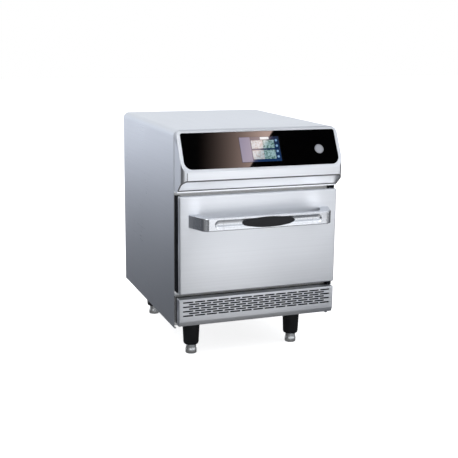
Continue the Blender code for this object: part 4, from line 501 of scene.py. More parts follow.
def edges_along(bm, axis, where=lambda co: True):
    """The edges that run along one axis, from the places that a test lets through."""
    index = "XYZ".index(axis)
    found = []
    for edge in bm.edges:
        start = edge.verts[0].co
        way = edge.verts[1].co - start
        if abs(way[index]) > 0.999 * way.length and where(start):
            found.append(edge)
    return found


def round_off(bm, edges, radius, segments):
    """Round some edges of a mesh."""
    bmesh.ops.bevel(bm, geom=edges, offset=radius, offset_type="OFFSET", segments=segments, profile=0.5,
                    affect="EDGES", material=-1, clamp_overlap=False)


def corners_of(bm, points, axis, at):
    """New corners in a plane across an axis."""
    verts = []
    for point in points:
        place = list(point)
        place.insert("XYZ".index(axis), at)
        verts.append(bm.verts.new(place))
    return verts


def shift_new(bm, made, axis, distance):
    """Move what an extrusion made along an axis."""
    way = Vector((0, 0, 0))
    way["XYZ".index(axis)] = distance
    verts = [item for item in made["geom"] if isinstance(item, bmesh.types.BMVert)]
    bmesh.ops.translate(bm, vec=way, verts=verts)
    return bm


def pull(bm, axis, distance):
    """Extrude all faces of a mesh along an axis into a solid."""
    return shift_new(bm, bmesh.ops.extrude_face_region(bm, geom=bm.faces[:]), axis, distance)


def prism(points, axis, start, end):
    """A solid with one outline from start to end along an axis."""
    bm = bmesh.new()
    bm.faces.new(corners_of(bm, points, axis, start))
    return pull(bm, axis, end - start)


def folded(points, axis, start, end):
    """An open sheet folded along an axis through a few corners."""
    bm = bmesh.new()
    verts = corners_of(bm, points, axis, start)
    edges = [bm.edges.new(pair) for pair in zip(verts, verts[1:])]
    return shift_new(bm, bmesh.ops.extrude_edge_only(bm, edges=edges), axis, end - start)


def turned(profile, matrix, steps=64, bm=None, closed=False):
    """Turn a profile of radius and height about Z, and place it."""
    made = bmesh.new()
    verts = [made.verts.new((radius, 0, height)) for radius, height in profile]
    edges = [made.edges.new(pair) for pair in zip(verts, verts[1:])]
    if closed:
        edges.append(made.edges.new((verts[-1], verts[0])))
    bmesh.ops.spin(made, geom=verts + edges, cent=(0, 0, 0), axis=(0, 0, 1), angle=2 * pi, steps=steps,
                   use_merge=True)
    bmesh.ops.remove_doubles(made, verts=made.verts[:], dist=MERGE)
    move(made, matrix)
    bmesh.ops.recalc_face_normals(made, faces=made.faces[:])
    return add_to(bm, made)


def plug(radius, low, high):
    """The profile of a solid round plug."""
    return (0, low), (radius, low), (radius, high), (0, high)


def upright(x, y, z):
    """A place for a shape turned about Z."""
    return Matrix.Translation((x, y, z))


def along_y(x, y, z):
    """A place for a turned shape that then stands along +Y."""
    return upright(x, y, z) @ Matrix.Rotation(-pi / 2, 4, "X")


def along_x(x, y, z):
    """A place for a turned shape that then stands along +X."""
    return upright(x, y, z) @ Matrix.Rotation(pi / 2, 4, "Y")


def rod(bm, start, end, radius):
    """Add a straight round rod between two points."""
    start, end = Vector(start), Vector(end)
    way = end - start
    matrix = Matrix.Translation((start + end) / 2) @ way.to_track_quat("Z", "Y").to_matrix().to_4x4()
    bmesh.ops.create_cone(bm, cap_ends=True, segments=16, radius1=radius, radius2=radius,
                          depth=way.length, matrix=matrix)


def bead(points, radius):
    """A round bead along a path of points."""
    data = bpy.data.curves.new("path", "CURVE")
    data.dimensions = "3D"
    data.bevel_depth = radius
    data.bevel_resolution = 2
    data.use_fill_caps = True
    spline = data.splines.new("POLY")
    spline.points.add(len(points) - 1)
    for target, point in zip(spline.points, points):
        target.co = (*point, 1)
    path = add_object("path", data)
    bm = evaluated(path)
    bpy.data.objects.remove(path)
    bpy.data.curves.remove(data)
    return bm


def rounded_plate(half, low, high, low_radius, high_radius, front, thickness):
    """A plate on the slope with unlike corner radii below and above."""
    bm = prism(((-half, low), (half, low), (half, high), (-half, high)), "Y", front, front + thickness)
    round_off(bm, edges_along(bm, "Y", lambda co: co.z < (low + high) / 2), low_radius, 10)
    round_off(bm, edges_along(bm, "Y", lambda co: co.z > high - MERGE), high_radius, 10)
    return bm


def glass_outline(wider, front, thickness):
    """A plate with the glass's outline, or a little wider."""
    lower, upper = GLASS_CORNERS
    return rounded_plate(GLASS_HALF + wider, GLASS_BASE - wider, GLASS_TOP + wider, lower + wider,
                         upper + wider, front, thickness)


class OVEN_OT_wrapper(bpy.types.Operator):
    """Fold the top and both sides from one sheet"""
    bl_idname = "oven.wrapper"
    bl_label = "Wrapper"

    def execute(self, context):
        sizes = context.scene.oven_sizes
        low, high = WRAP_LOW, WRAP_HIGH
        hem, hem_radius = 0.006, 0.0015
        corners = ((low.x + hem, low.z), (low.x, low.z), (low.x, high.z), (high.x, high.z),
                   (high.x, low.z), (high.x - hem, low.z))
        bm = folded(corners, "Y", low.y, high.y)
        round_off(bm, edges_along(bm, "Y", lambda co: co.z > high.z - MERGE), sizes.shoulder, 14)
        hems = edges_along(bm, "Y", lambda co: co.z < low.z + MERGE and abs(co.x) > high.x - MERGE)
        round_off(bm, hems, hem_radius, 4)
        wrapper = show("wrapper", bm, "stainless lengthwise", "cabinet", ["outer_wrapper"],
                       outward=Vector((0, 0, 1)))
        add_sheet(wrapper, sizes.sheet)
        break_edges(wrapper, sizes.small_edge, 60)
        return {"FINISHED"}


def header_solid(inset):
    """The header's outer form, or its hollow when inset."""
    top = WRAP_HIGH.z - inset
    half = HEAD_HIGH.x - inset
    back = WRAP_LOW.y + (HOLLOW_PAST if inset else -HEAD_GAP)
    front = HEAD_LOW.y + inset
    band_top = BAND_HIGH - inset * sin(LEAN / 2)
    slant = atan2(UNDER_Y - HEAD_LOW.y, BAND_LOW - LIP_TOP)
    band_low = BAND_LOW + inset * (1 - sin(slant)) / cos(slant)
    lip = LIP_TOP + inset
    under = front + (band_low - lip) * (UNDER_Y - HEAD_LOW.y) / (BAND_LOW - LIP_TOP)
    top_y = front + (top - band_top) * sin(LEAN) / cos(LEAN)
    points = [(back, top), (top_y, top), (front, band_top), (front, band_low), (under, lip)]
    if inset:
        points += [(under + LIP_STEP, lip), (back, lip)]
    else:
        points += [(UNDER_Y + LIP_STEP, lip), (UNDER_Y + LIP_STEP, LIP_LOW), (back, LIP_LOW)]
    bm = prism(points, "X", -half, half)
    crest = edges_along(bm, "X", lambda co: abs(co.y - top_y) < MERGE and co.z > top - MERGE)
    round_off(bm, crest, HEAD_CREST, 10)
    if not inset:
        folds = edges_along(bm, "X", lambda co: abs(co.y - front) < MERGE and co.z > BAND_LOW - MERGE)
        round_off(bm, folds, HEAD_FOLD, 4)
    below, behind = HEAD_LOW.z - OVERSHOOT, WRAP_LOW.y + OVERSHOOT
    plan = block((-half, front, below), (half, behind, top + OVERSHOOT))
    round_off(plan, edges_along(plan, "Z", lambda co: co.y < front + MERGE), HEAD_CORNER - inset, 14)
    shoulders = block((-half, front - OVERSHOOT, below), (half, behind, top))
    round_off(shoulders, edges_along(shoulders, "Y", lambda co: co.z > top - MERGE),
              HEAD_SHOULDER - inset, 14)
    return combine(bm, [plan, shoulders], "INTERSECT")


def lay_seam_shade():
    """Dark beads of painted shade in the seams of the front, where their grooves fall in shadow: round the
    bevel's edge, under it, and down the band.
    """
    # Radii and offsets of the beads, which wear the dark seal finish as painted shade
    seal, fine_shade_radius, seam_x, sunk = 0.0018, 0.0010, -0.2047, 0.0006
    aside, inset, lift, drop = 0.0011, 0.0003, 0.0001, 0.0004
    half, front, radius = HEAD_HIGH.x, HEAD_LOW.y, HEAD_CORNER
    slant = (UNDER_Y - front) / (BAND_LOW - LIP_TOP)
    corner = [(half - radius + radius * cos(angle), front + radius - radius * sin(angle))
              for angle in (step * pi / 16 for step in range(9))]
    right = [(half, UNDER_Y)] + corner
    edge = [(-x, y) for x, y in right] + right[::-1]
    points = [Vector((x, y, BAND_LOW - (y - front) / slant)) for x, y in edge]
    inwards = [Vector((-x / abs(x) * aside if abs(x) > half - radius / 2 else 0, inset, lift))
               for x, y in edge]
    seams = bead([point + way for point, way in zip(points, inwards)], seal)
    end = half - 0.0012
    under = [(x, UNDER_Y + sunk, LIP_TOP - drop) for x in (-end, end)]
    add_to(seams, bead(under, seal))
    down = [(seam_x, front + sunk, z) for z in (BAND_LOW, BAND_HIGH - 0.001)]
    add_to(seams, bead(down, fine_shade_radius))
    # Painted shade: the dark beads stand in for the shadow in the seams' grooves
    show("header_seals", seams, "seal", "cabinet")


class OVEN_OT_header(bpy.types.Operator):
    """Make the sloping header with its opening for the glass"""
    bl_idname = "oven.header"
    bl_label = "Header"

    def execute(self, context):
        sizes = context.scene.oven_sizes
        trim_front, trim_thick, trim_gap = -0.0007, 0.0006, 0.0002
        opening = move(glass_outline(FIT, -OVERSHOOT, OVERSHOOT + GLASS_THICK + FIT), SLOPE)
        shell = combine(header_solid(0), [header_solid(HEAD_WALL), opening])
        header = show("header", shell, "stainless across", "cabinet", ["header_shell"])
        break_edges(header, sizes.small_edge)

        trim = combine(glass_outline(sizes.trim + FIT, trim_front, trim_thick),
                       [glass_outline(trim_gap, -OVERSHOOT, 2 * OVERSHOOT)])
        show("glass_trim", move(trim, SLOPE), "stainless across", "cabinet")
        # Dark beads of painted shade in the header's seams
        lay_seam_shade()
        return {"FINISHED"}


def lay_tiles(x, z, wide, tall):
    """Lay plain tiles and marks on the screen, placed by shares of its half width and height."""
    front, back = -0.0002, 0.0001
    mark_front, mark_back, mark_radius, mark_share = -0.0001, 0.0002, 0.0032, 0.86
    # The left panel is a painted reflection over the plain dark blue ground
    groups = {"screen light": [(0.06, 0.78, 0.50, 0.98)], "screen panel": [(-0.99, -0.99, -0.46, 0.99)],
              "screen pale tile": [], "screen tile": []}
    for look, left, right in (("screen pale tile", -0.42, 0.15), ("screen tile", 0.16, 0.74)):
        for low, high in ((-0.80, -0.08), (0.06, 0.72)):
            groups[look].append((left, low, right, high))
    for look, tiles in groups.items():
        bm = bmesh.new()
        for left, low, right, high in tiles:
            block((x + left * wide, front, z + low * tall), (x + right * wide, back, z + high * tall), bm)
        show(look.replace(" ", "_"), move(bm, SLOPE), look, "cabinet")
    marks = None
    for share in (-0.64, -0.20, 0.24, 0.68):
        marks = turned(plug(mark_radius, mark_front, mark_back),
                       SLOPE @ along_y(x + mark_share * wide, 0, z + share * tall), 24, marks)
    show("screen_marks", marks, "screen mark", "cabinet")


def make_button():
    """Turn the bezel and the button, and engrave the button."""
    at = SLOPE @ along_y(BUTTON_AT[0], 0, BUTTON_AT[1])
    ring, bore, proud, edge = BUTTON_RING, BUTTON_BORE, 0.001, 0.0004
    profile = ((bore, GLASS_THICK), (bore, edge - proud), (bore + edge, -proud), (ring - edge, -proud),
               (ring, edge - proud), (ring, GLASS_THICK))
    show("button_bezel", turned(profile, at, closed=True), "button metal", "cabinet", ["button_ring"])
    cap, cap_edge, cap_front, cap_back = bore - FIT, 0.0005, -0.0006, 0.0011
    stem, stem_end = 0.005, 0.0093
    profile = ((0, cap_front), (cap - cap_edge, cap_front), (cap, cap_front + cap_edge), (cap, cap_back),
               (stem, cap_back), (stem, stem_end), (0, stem_end))
    inner, outer, before, floor = 0.0036, 0.0044, -0.004, -0.0004
    groove = turned(((inner, before), (outer, before), (outer, floor), (inner, floor)), at, closed=True)
    gap = block((-0.0014, -OVERSHOOT, 0), (0.0014, OVERSHOOT, 0.01))
    stroke = block((-0.0004, -0.005, 0.0012), (0.0004, floor, 0.0052))
    for tool in (gap, stroke):
        move(tool, SLOPE @ upright(BUTTON_AT[0], 0, BUTTON_AT[1]))
    button = combine(turned(profile, at), [combine(groove, [gap]), stroke])
    show("button", button, "button metal", "power_button", ["power_button"])


class OVEN_OT_controls(bpy.types.Operator):
    """Make the black glass, the screen with its tiles, and the power button"""
    bl_idname = "oven.controls"
    bl_label = "Controls"

    def execute(self, context):
        x, z = SCREEN_AT
        wide, tall = SCREEN_HALF
        window = block((x - wide - FIT, -OVERSHOOT, z - tall - FIT),
                       (x + wide + FIT, OVERSHOOT, z + tall + FIT))
        hole = turned(plug(BUTTON_RING + FIT, -OVERSHOOT, OVERSHOOT),
                      along_y(BUTTON_AT[0], 0, BUTTON_AT[1]))
        glass = move(combine(glass_outline(0, 0, GLASS_THICK), [window, hole]), SLOPE)
        break_edges(show("glass", glass, "black glass", "cabinet", ["control_glass"]), 0.0003)

        screen_corner = 0.0008
        ground = block((x - wide, 0, z - tall), (x + wide, SCREEN_THICK, z + tall))
        round_off(ground, edges_along(ground, "Y"), screen_corner, 3)
        show("screen", move(ground, SLOPE), "screen ground", "cabinet", ["touch_display"])
        lay_tiles(x, z, wide, tall)
        make_button()
        repaint("control_backplate", "black plastic")
        repaint("display_board", "circuit board")
        return {"FINISHED"}


class OVEN_OT_door(bpy.types.Operator):
    """Make the door's skin, tray, inner panel, seal and hinges"""
    bl_idname = "oven.door"
    bl_label = "Door"

    def execute(self, context):
        sizes = context.scene.oven_sizes
        flange, notch_top, notch_side, notch_front, notch_back = 0.0145, 0.214, 0.001, 0.0005, 0.004
        bm = block(DOOR_LOW, DOOR_HIGH)
        bm.normal_update()
        back = [face for face in bm.faces if face.normal.y > 0.5]
        bmesh.ops.inset_region(bm, faces=back, thickness=flange)
        bmesh.ops.delete(bm, geom=back, context="FACES_ONLY")
        turn_out(bm, Vector((0, -1, 0)))
        rims = [edge for edge in bm.edges
                if len(edge.link_faces) == 2 and min(vert.co.y for vert in edge.verts) < DOOR_LOW.y + MERGE]
        round_off(bm, rims, sizes.door_edge, 6)
        bm.normal_update()
        bmesh.ops.solidify(bm, geom=bm.faces[:], thickness=sizes.sheet)
        notches = bmesh.new()
        for name, side in SIDES:
            low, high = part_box("hinge_bracket_" + name)
            block((low.x - notch_side, low.y - notch_front, DOOR_LOW.z - OVERSHOOT),
                  (high.x + notch_side, DOOR_HIGH.y + notch_back, notch_top), notches)
        show("door_front", combine(bm, [notches]), "stainless across", "door", ["door_skin"])
        dress("door_tray", "door_inner_tray", "black plastic", "door", 0.0008)
        dress("door_lining", "door_inner_panel", "inner steel", "door", 0.0008)
        dress("door_seal", "door_gasket", "seal", "door", 0.0016, 3)
        repaint("door_insulation", "wool")
        for name, side in SIDES:
            dress("hinge_ear_" + name, "hinge_bracket_" + name, "satin metal", "cabinet", 0.0004)
            dress("hinge_stub_" + name, "hinge_pin_" + name, "satin metal", "door", 0.0003)
            dress("black_column_" + name, "front_column_" + name, "black column", "cabinet", 0.0006,
                  between_z=(DOOR_LOW.z + 0.001, DOOR_HIGH.z - 0.002) if side < 0 else ())
        return {"FINISHED"}


def show_casting(name, bm, node):
    """Show a casting of the handle."""
    piece = show(name, bm, "polished", "door", [node])
    break_edges(piece, 0.0002)
    flatten_shading(piece)


def oval(half_length, half_height, middle, front, back):
    """An upright oval prism across the bar."""
    bm = bmesh.new()
    bmesh.ops.create_circle(bm, cap_ends=True, segments=96, radius=1,
                            matrix=Matrix.Rotation(pi / 2, 4, "X"))
    bmesh.ops.scale(bm, vec=(half_length, 1, half_height), verts=bm.verts[:])
    bmesh.ops.translate(bm, vec=(0, front, middle), verts=bm.verts[:])
    return pull(bm, "Y", back - front)


def scoop(front, middle):
    """The long round-ended hollow in the handle's front."""
    radius, depth, half = 0.0172, 0.0045, 0.145
    chord = sqrt(radius ** 2 - (radius - depth) ** 2)
    straight = half - chord
    profile = [(0, straight + radius)]
    profile += [(radius * sin(step * pi / 28), straight + radius * cos(step * pi / 28))
                for step in range(1, 15)]
    profile += [(point[0], -point[1]) for point in reversed(profile)]
    return turned(profile, along_x(0, front - radius + depth, middle), 96)


class OVEN_OT_handle(bpy.types.Operator):
    """Make the cast handle with its scoop and black insert"""
    bl_idname = "oven.handle"
    bl_label = "Handle"

    def execute(self, context):
        sizes = context.scene.oven_sizes
        front, back = BAR_LOW.y, BAR_HIGH.y
        middle = (BAR_LOW.z + BAR_HIGH.z) / 2
        pad_half = (PAD_HIGH.z - PAD_LOW.z) / 2
        bar = block(BAR_LOW, BAR_HIGH)
        round_off(bar, edges_along(bar, "X"), sizes.handle_edge, 6)
        pocket = oval(PAD_HIGH.x + FIT, pad_half + FIT, middle, front - OVERSHOOT, PAD_HIGH.y + FIT)
        show_casting("bar", combine(bar, [scoop(front, middle), pocket]), "handle_bar")

        pad_edge = 0.0014
        pad = oval(PAD_HIGH.x, pad_half, middle, PAD_LOW.y, PAD_HIGH.y)
        rim = [edge for edge in pad.edges if max(vert.co.y for vert in edge.verts) < PAD_LOW.y + MERGE]
        round_off(pad, rim, pad_edge, 5)
        show("handle_pad", pad, "black pad", "door", ["handle_insert"])

        # An arm's outline from above, by its distances from the middle
        door = DOOR_LOW.y - FIT
        seam, knuckle, toe, heel, crotch, neck = 0.1208, 0.172, 0.193, 0.1675, 0.153, 0.141
        outline = ((seam, front), (knuckle, front), (toe, door), (heel, door), (crotch, back + 0.012),
                   (neck, back), (seam, back))
        for name, side in SIDES:
            arm = prism([(side * x, y) for x, y in outline], "Z", BAR_LOW.z, BAR_HIGH.z)
            for x, radius, segments in ((knuckle, 0.014, 12), (crotch, 0.006, 6)):
                round_off(arm, edges_along(arm, "Z", lambda co: abs(abs(co.x) - x) < MERGE), radius, segments)
            rims = []
            for edge in arm.edges:
                first, second = edge.verts[0].co, edge.verts[1].co
                level = abs(first.z - second.z) < MERGE
                at_seam = max(abs(first.x), abs(second.x)) < seam + 0.0001
                at_door = min(first.y, second.y) > door - MERGE
                if level and not at_seam and not at_door:
                    rims.append(edge)
            round_off(arm, rims, sizes.handle_edge, 5)
            show_casting("arm_" + name, combine(arm, [scoop(front, middle)]), "handle_arm_" + name)
        return {"FINISHED"}


def slot_rows(low, high):
    """Seven rows of round-ended slots, by turns thirteen and twelve."""
    half_long, half_tall, corner, reach = 0.0141, 0.0019, 0.0018, 0.004
    side_margin, top_margin, row_pitch = 0.0098, 0.0080, 0.00593
    bm = bmesh.new()
    last = high.x - side_margin - half_long
    for row in range(7):
        z = high.z - top_margin - row * row_pitch
        count = 13 - row % 2
        for index in range(count):
            x = (index - (count - 1) / 2) * last / 6
            block((x - half_long, low.y - reach, z - half_tall),
                  (x + half_long, low.y + reach, z + half_tall), bm)
    round_off(bm, edges_along(bm, "Y"), corner, 4)
    return bm


class OVEN_OT_grille(bpy.types.Operator):
    """Fold the lower panel and pierce its rows of slots"""
    bl_idname = "oven.grille"
    bl_label = "Lower Panel"

    def execute(self, context):
        sizes = context.scene.oven_sizes
        low, high = GRILLE_LOW, GRILLE_HIGH
        slant_deep, slant_high, fold = 0.005, 0.0125, 0.0016
        bm = prism(((high.y, low.z), (low.y + slant_deep, low.z), (low.y, low.z + slant_high),
                    (low.y, high.z), (high.y, high.z)), "X", low.x, high.x)
        bm.normal_update()
        rear = [face for face in bm.faces if face.calc_center_median().y > high.y - MERGE]
        bmesh.ops.delete(bm, geom=rear, context="FACES_ONLY")
        turn_out(bm, Vector((0, -1, 0)))
        rims = [edge for edge in bm.edges
                if len(edge.link_faces) == 2 and edge.calc_face_angle() > radians(15)]
        round_off(bm, rims, fold, 4)
        bmesh.ops.solidify(bm, geom=bm.faces[:], thickness=sizes.sheet)
        show("slotted_panel", combine(bm, [slot_rows(low, high)]), "panel steel", "grille",
             ["grille_panel"])
        dress("filter", "air_filter", "black plastic", "grille", 0.0005)
        return {"FINISHED"}


class OVEN_OT_legs(bpy.types.Operator):
    """Turn the four sleeves and their screw feet"""
    bl_idname = "oven.legs"
    bl_label = "Legs"

    def execute(self, context):
        sleeve = [(0, 0.0827), (0.0238, 0.0827), (0.0244, 0.0824), (0.0246, 0.0818), (0.0210, 0.0060),
                  (0.0206, 0.0036), (0.0198, 0.0014), (0.0186, 0.0003), (0.0176, 0), (0.0141, 0),
                  (0.0141, 0.032), (0, 0.032)]
        thread, root = 0.0138, 0.0134
        foot = [(0, 0), (0.0133, 0), (0.0147, 0.0006), (0.0153, 0.0020), (0.0153, 0.0122), (0.0149, 0.0132),
                (thread, 0.0150)]
        for ring in range(6):
            height = 0.0200 + ring * 0.0012
            foot += [(thread, height), (root, height + 0.0004), (thread, height + 0.0008)]
        foot += [(thread, 0.057), (0, 0.057)]
        for corner in CORNERS:
            low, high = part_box("leg_sleeve_" + corner)
            at = upright((low.x + high.x) / 2, (low.y + high.y) / 2, low.z)
            show("sleeve_" + corner, turned(sleeve, at, 72), "black plastic", "cabinet",
                 ["leg_sleeve_" + corner])
            at.translation.z = 0
            show("foot_" + corner, turned(foot, at, 72), "foot metal", "foot_" + corner,
                 ["leg_foot_" + corner])
        return {"FINISHED"}


def make_gland():
    """Turn the cord's gland with its nut and bore."""
    middle = (GLAND_LOW + GLAND_HIGH) / 2
    nut_radius, nut_thick, rim, bore_radius, bore_reach = 0.0138, 0.0024, 0.0017, 0.005, 0.03
    at = along_y(middle.x, GLAND_HIGH.y - rim, middle.z)
    nut = bmesh.new()
    bmesh.ops.create_cone(nut, cap_ends=True, segments=6, radius1=nut_radius, radius2=nut_radius,
                          depth=nut_thick, matrix=at @ upright(0, 0, -0.0001))
    body = turned(((0, -0.0135), (0.0110, -0.0135), (0.0110, 0.0005), (0.0122, 0.0006), (0.0118, 0.0014),
                   (0.0100, rim), (0, rim)), at)
    bore = turned(plug(bore_radius, -bore_reach, bore_reach), at)
    gland = combine(combine(nut, [body], "UNION"), [bore])
    show("cord_gland", gland, "black plastic", "cabinet", ["cable_gland"])


def add_screw(bm, x, z, turn):
    """Add a small round-headed screw with a cross slot."""
    head = turned(((0, -0.0004), (0.0033, -0.0004), (0.0034, 0.0004), (0.0030, 0.0011), (0.0020, 0.0016),
                   (0.0010, 0.0018), (0, 0.0018)), Matrix.Identity(4), 20)
    arms = [block((-wide, -tall, 0.0010), (wide, tall, 0.0030))
            for wide, tall in ((0.0017, 0.0003), (0.0003, 0.0017))]
    head = combine(head, arms)
    add_to(bm, move(head, along_y(x, BACK_HIGH.y, z) @ Matrix.Rotation(turn, 4, "Z")))


class OVEN_OT_back(bpy.types.Operator):
    """Make the rear sheet, the gland and the screws of the back and the base"""
    bl_idname = "oven.back"
    bl_label = "Back and Base"

    def execute(self, context):
        dress("rear_sheet", "back_panel", "galvanised", "cabinet", 0.0002)
        dress("bottom_pan", "base_pan", "galvanised", "cabinet", 0.0004)
        dress("front_plate", "front_frame", "plate steel", "cabinet", 0.0003)
        dress("chassis_shelf", "service_shelf", "galvanised", "cabinet", 0)
        make_gland()
        screws = bmesh.new()
        side_row, low_row, turn = 0.2085, 0.1215, 9
        for side in (-1, 1):
            for z in (0.135, 0.255, 0.375, 0.495, 0.590):
                add_screw(screws, side * side_row, z, side * z * turn)
        for x in (-0.11, 0, 0.11):
            add_screw(screws, x, low_row, x * turn)
        show("back_screws", screws, "satin metal", "cabinet")
        return {"FINISHED"}


def make_rack():
    """Weld the rack from round wire."""
    low, high = RACK_LOW, RACK_HIGH
    radius = (high.z - low.z) / 2
    z = (low.z + high.z) / 2
    first, last, wires = low.x + radius, high.x - radius, 11
    bm = bmesh.new()
    for y in (low.y + radius, high.y - radius):
        rod(bm, (low.x, y, z), (high.x, y, z), radius)
    for index in range(wires):
        x = first + (last - first) * index / (wires - 1)
        rod(bm, (x, low.y, z), (x, high.y, z), radius)
    show("rack", bm, "polished", "cabinet", ["oven_rack"])


class OVEN_OT_inside(bpy.types.Operator):
    """Finish the cooking space, the rack and the parts behind the sheets"""
    bl_idname = "oven.inside"
    bl_label = "Inside"

    def execute(self, context):
        dress("liner", "cavity_liner", "inner steel", "cabinet", 0.0004)
        dress("upper_jets", "upper_jet_plate", "inner steel", "cabinet", 0.0003)
        dress("lower_jets", "lower_jet_plate", "inner steel", "cabinet", 0.0003)
        for name, side in SIDES:
            dress("rail_" + name, "rack_rail_" + name, "inner steel", "cabinet", 0.0010, 3)
        make_rack()
        for look, nodes in (
                ("wool", ("insulation_jacket",)),
                ("galvanised", ("fan_housing", "waveguide", "stirrer_motor", "hv_capacitor")),
                ("inner steel", ("convection_impeller",)),
                ("satin metal", ("fan_shaft", "mode_stirrer")),
                ("coated steel", ("fan_motor", "magnetron", "hv_transformer")),
                ("heater", ("heating_element",)),
                ("ceramic", ("catalyst_block",)),
                ("circuit board", ("control_board",)),
                ("black plastic", ("cooling_fan_frame", "cooling_fan_blades"))):
            for node in nodes:
                repaint(node, look)
        return {"FINISHED"}


HANDLE_PIECES = ("bar", "arm_left", "arm_right")
CONTROL_PIECES = ("glass", "screen", "screen_light", "screen_panel", "screen_tile", "screen_pale_tile",
                  "screen_marks")


def oblong(left, low, right, high):
    """The corners of an oblong card."""
    return (left, low), (right, low), (right, high), (left, high)


def standing(x, y, turn=0.0):
    """The place of a card that stands on the floor, turned about the vertical."""
    return upright(x, y, 0) @ Matrix.Rotation(turn, 4, "Z") @ Matrix.Rotation(pi / 2, 4, "X")


def add_lamp(name, place, aim, size, power):
    """A square soft light that points at the oven."""
    data = bpy.data.lights.new(name, "AREA")
    data.size = size
    data.energy = power
    way = Vector(aim) - Vector(place)
    lamp = add_object(name, data)
    lamp.matrix_world = Matrix.Translation(place) @ way.to_track_quat("-Z", "Y").to_matrix().to_4x4()
    return lamp


def hidden_lamp(name, place, aim, size, power, pieces):
    """A soft light that reaches only the given pieces, as a glint between the sheets does."""
    lamp = add_lamp(name, place, aim, size, power)
    lamp.visible_camera = False
    reached = gather(name + " reaches", pieces)
    lamp.light_linking.receiver_collection = reached
    lamp.light_linking.blocker_collection = reached


def gather(name, pieces):
    """A collection of the pieces that a light reaches or misses."""
    made = bpy.data.collections.new(name)
    for piece in pieces:
        made.objects.link(bpy.data.objects[piece])
    return made


def lay_floor():
    """A pale floor that keeps the shadow and goes to white."""
    bm = bmesh.new()
    bmesh.ops.create_grid(bm, x_segments=1, y_segments=1, size=14)
    mesh = mesh_from("floor", bm)
    material, tree = new_material("studio floor")
    base(tree, (0.86, 0.86, 0.87), 0.9)
    feed(tree, "Emission Color", (1, 1, 1))
    rays = add_node(tree, "LightPath")
    seen = add_up(tree, rays["Is Camera Ray"], rays["Is Transmission Ray"])
    seen = add_up(tree, seen, rays["Is Glossy Ray"])
    feed(tree, "Emission Strength", spread_value(tree, seen, 0, 0.75, 0, 1))
    mesh.materials.append(material)
    add_object("floor", mesh)


def light_world(scene):
    """White to the camera, pale grey in reflections, and a soft grey sky for light."""
    world = scene.world or bpy.data.worlds.new("studio")
    scene.world = world
    world.use_nodes = True
    tree = world.node_tree
    height = spread_value(tree, axes_of(tree, "Generated")["Z"], 0, 1, 0.0, 0.8)
    sky = between(tree, height, (0.95, 0.985, 1.03), (0.62, 0.64, 0.67))
    rays = add_node(tree, "LightPath")
    seen = between(tree, rays["Is Glossy Ray"], (0.80, 0.81, 0.83), sky)
    seen = between(tree, rays["Is Camera Ray"], seen, (1, 1, 1))
    seen = between(tree, rays["Is Transmission Ray"], seen, (1, 1, 1))
    give(tree, tree.nodes["Background"].inputs["Color"], seen)


def hang_card(name, place, outline, glow, colour=(1, 1, 1), power=1.0, only=()):
    """A studio card that only shiny surfaces see.

    Its glow is one value, or goes from a first to a second value between two places on its own
    X axis. Where it is there for some pieces only, the others see through it.
    """
    low, high, start, end = glow if isinstance(glow, tuple) else (glow, glow, 0, 1)
    bm = bmesh.new()
    bm.faces.new([bm.verts.new((x, y, 0)) for x, y in outline])
    mesh = mesh_from(name, bm)
    card = add_object(name, mesh)
    card.matrix_world = place
    material, tree = new_material(name)
    feed(tree, "Base Color", (0, 0, 0))
    feed(tree, "Specular IOR Level", 0)
    feed(tree, "Emission Color", colour)
    share = spread_value(tree, axes_of(tree)["X"], 0, 1, start, end)
    ramp = add_node(tree, "Math", {0: share, 1: power}, operation="POWER")["Value"]
    feed(tree, "Emission Strength", spread_value(tree, ramp, low, high, 0, 1))
    if only:
        lit_side = tree.nodes["Principled BSDF"].outputs["BSDF"]
        clear = add_node(tree, "BsdfTransparent")["BSDF"]
        both = add_node(tree, "AddShader", {0: lit_side, 1: clear})["Shader"]
        give(tree, tree.nodes["Material Output"].inputs["Surface"], both)
        card.light_linking.receiver_collection = gather(name + " reaches", only)
    material.cycles.emission_sampling = "NONE"
    mesh.materials.append(material)
    for kind in ("camera", "diffuse", "shadow", "transmission", "volume_scatter"):
        setattr(card, "visible_" + kind, False)


def hang_cards():
    """Cards that shade the reflections: on the floor, round the oven, over it and in its gap."""
    lay_cards()
    stand_cards()
    tilt_cards()
    half = HEAD_HIGH.x
    hang_card("bevel card", upright(0, 0, 0.4562), oblong(-half, -0.275, half, -0.2336),
              (0.58, 0.86, -half, 0), only=["header"])
    hang_card("handle card", upright(0, 0, 0.95), oblong(-0.6, -1.3, 0.9, -0.34), 1.0, only=HANDLE_PIECES)
    behind = Matrix(((0, 1, 0, 0), (0, 0, 1, WRAP_LOW.y - 0.001), (1, 0, 0, 0), (0, 0, 0, 1)))
    hang_card("gap card", behind, oblong(0.11, -half, 0.61, half), (0.16, 0.50, 0.20, 0.46),
              only=["front_plate"])


def lay_cards():
    """Cards that lie on the floor, whose own X axis points to the back."""
    floor = upright(0, 0, 0.001) @ Matrix.Rotation(pi / 2, 4, "Z")
    for edge, rim in ((0.225, 3.5), (-3.5, -0.225)):
        hang_card("side card", floor, oblong(-0.9, edge, 6.0, rim), (0.13, 0.80, 0.2, 4.6),
                  (0.84, 0.89, 1.0), 1.2)
    first = -0.225
    for last, glow in ((0.42, 1.40), (0.50, 1.65), (0.58, 1.98), (0.66, 2.3), (0.82, 2.6), (0.90, 2.0),
                       (0.98, 1.14), (1.06, 0.69), (3.0, 0.46)):
        hang_card("front card", floor, oblong(-5.0, -last, -0.42, -first), (glow, 0.30, -2.8, -0.42),
                  power=3.0)
        first = last
    hang_card("corner card", floor, oblong(-5.0, 0.225, -0.9, 3.5), 0.30)
    hang_card("under card", floor, oblong(-0.42, -0.4, 0.3, 0.3), (0.40, 0.13, -0.42, -0.30))


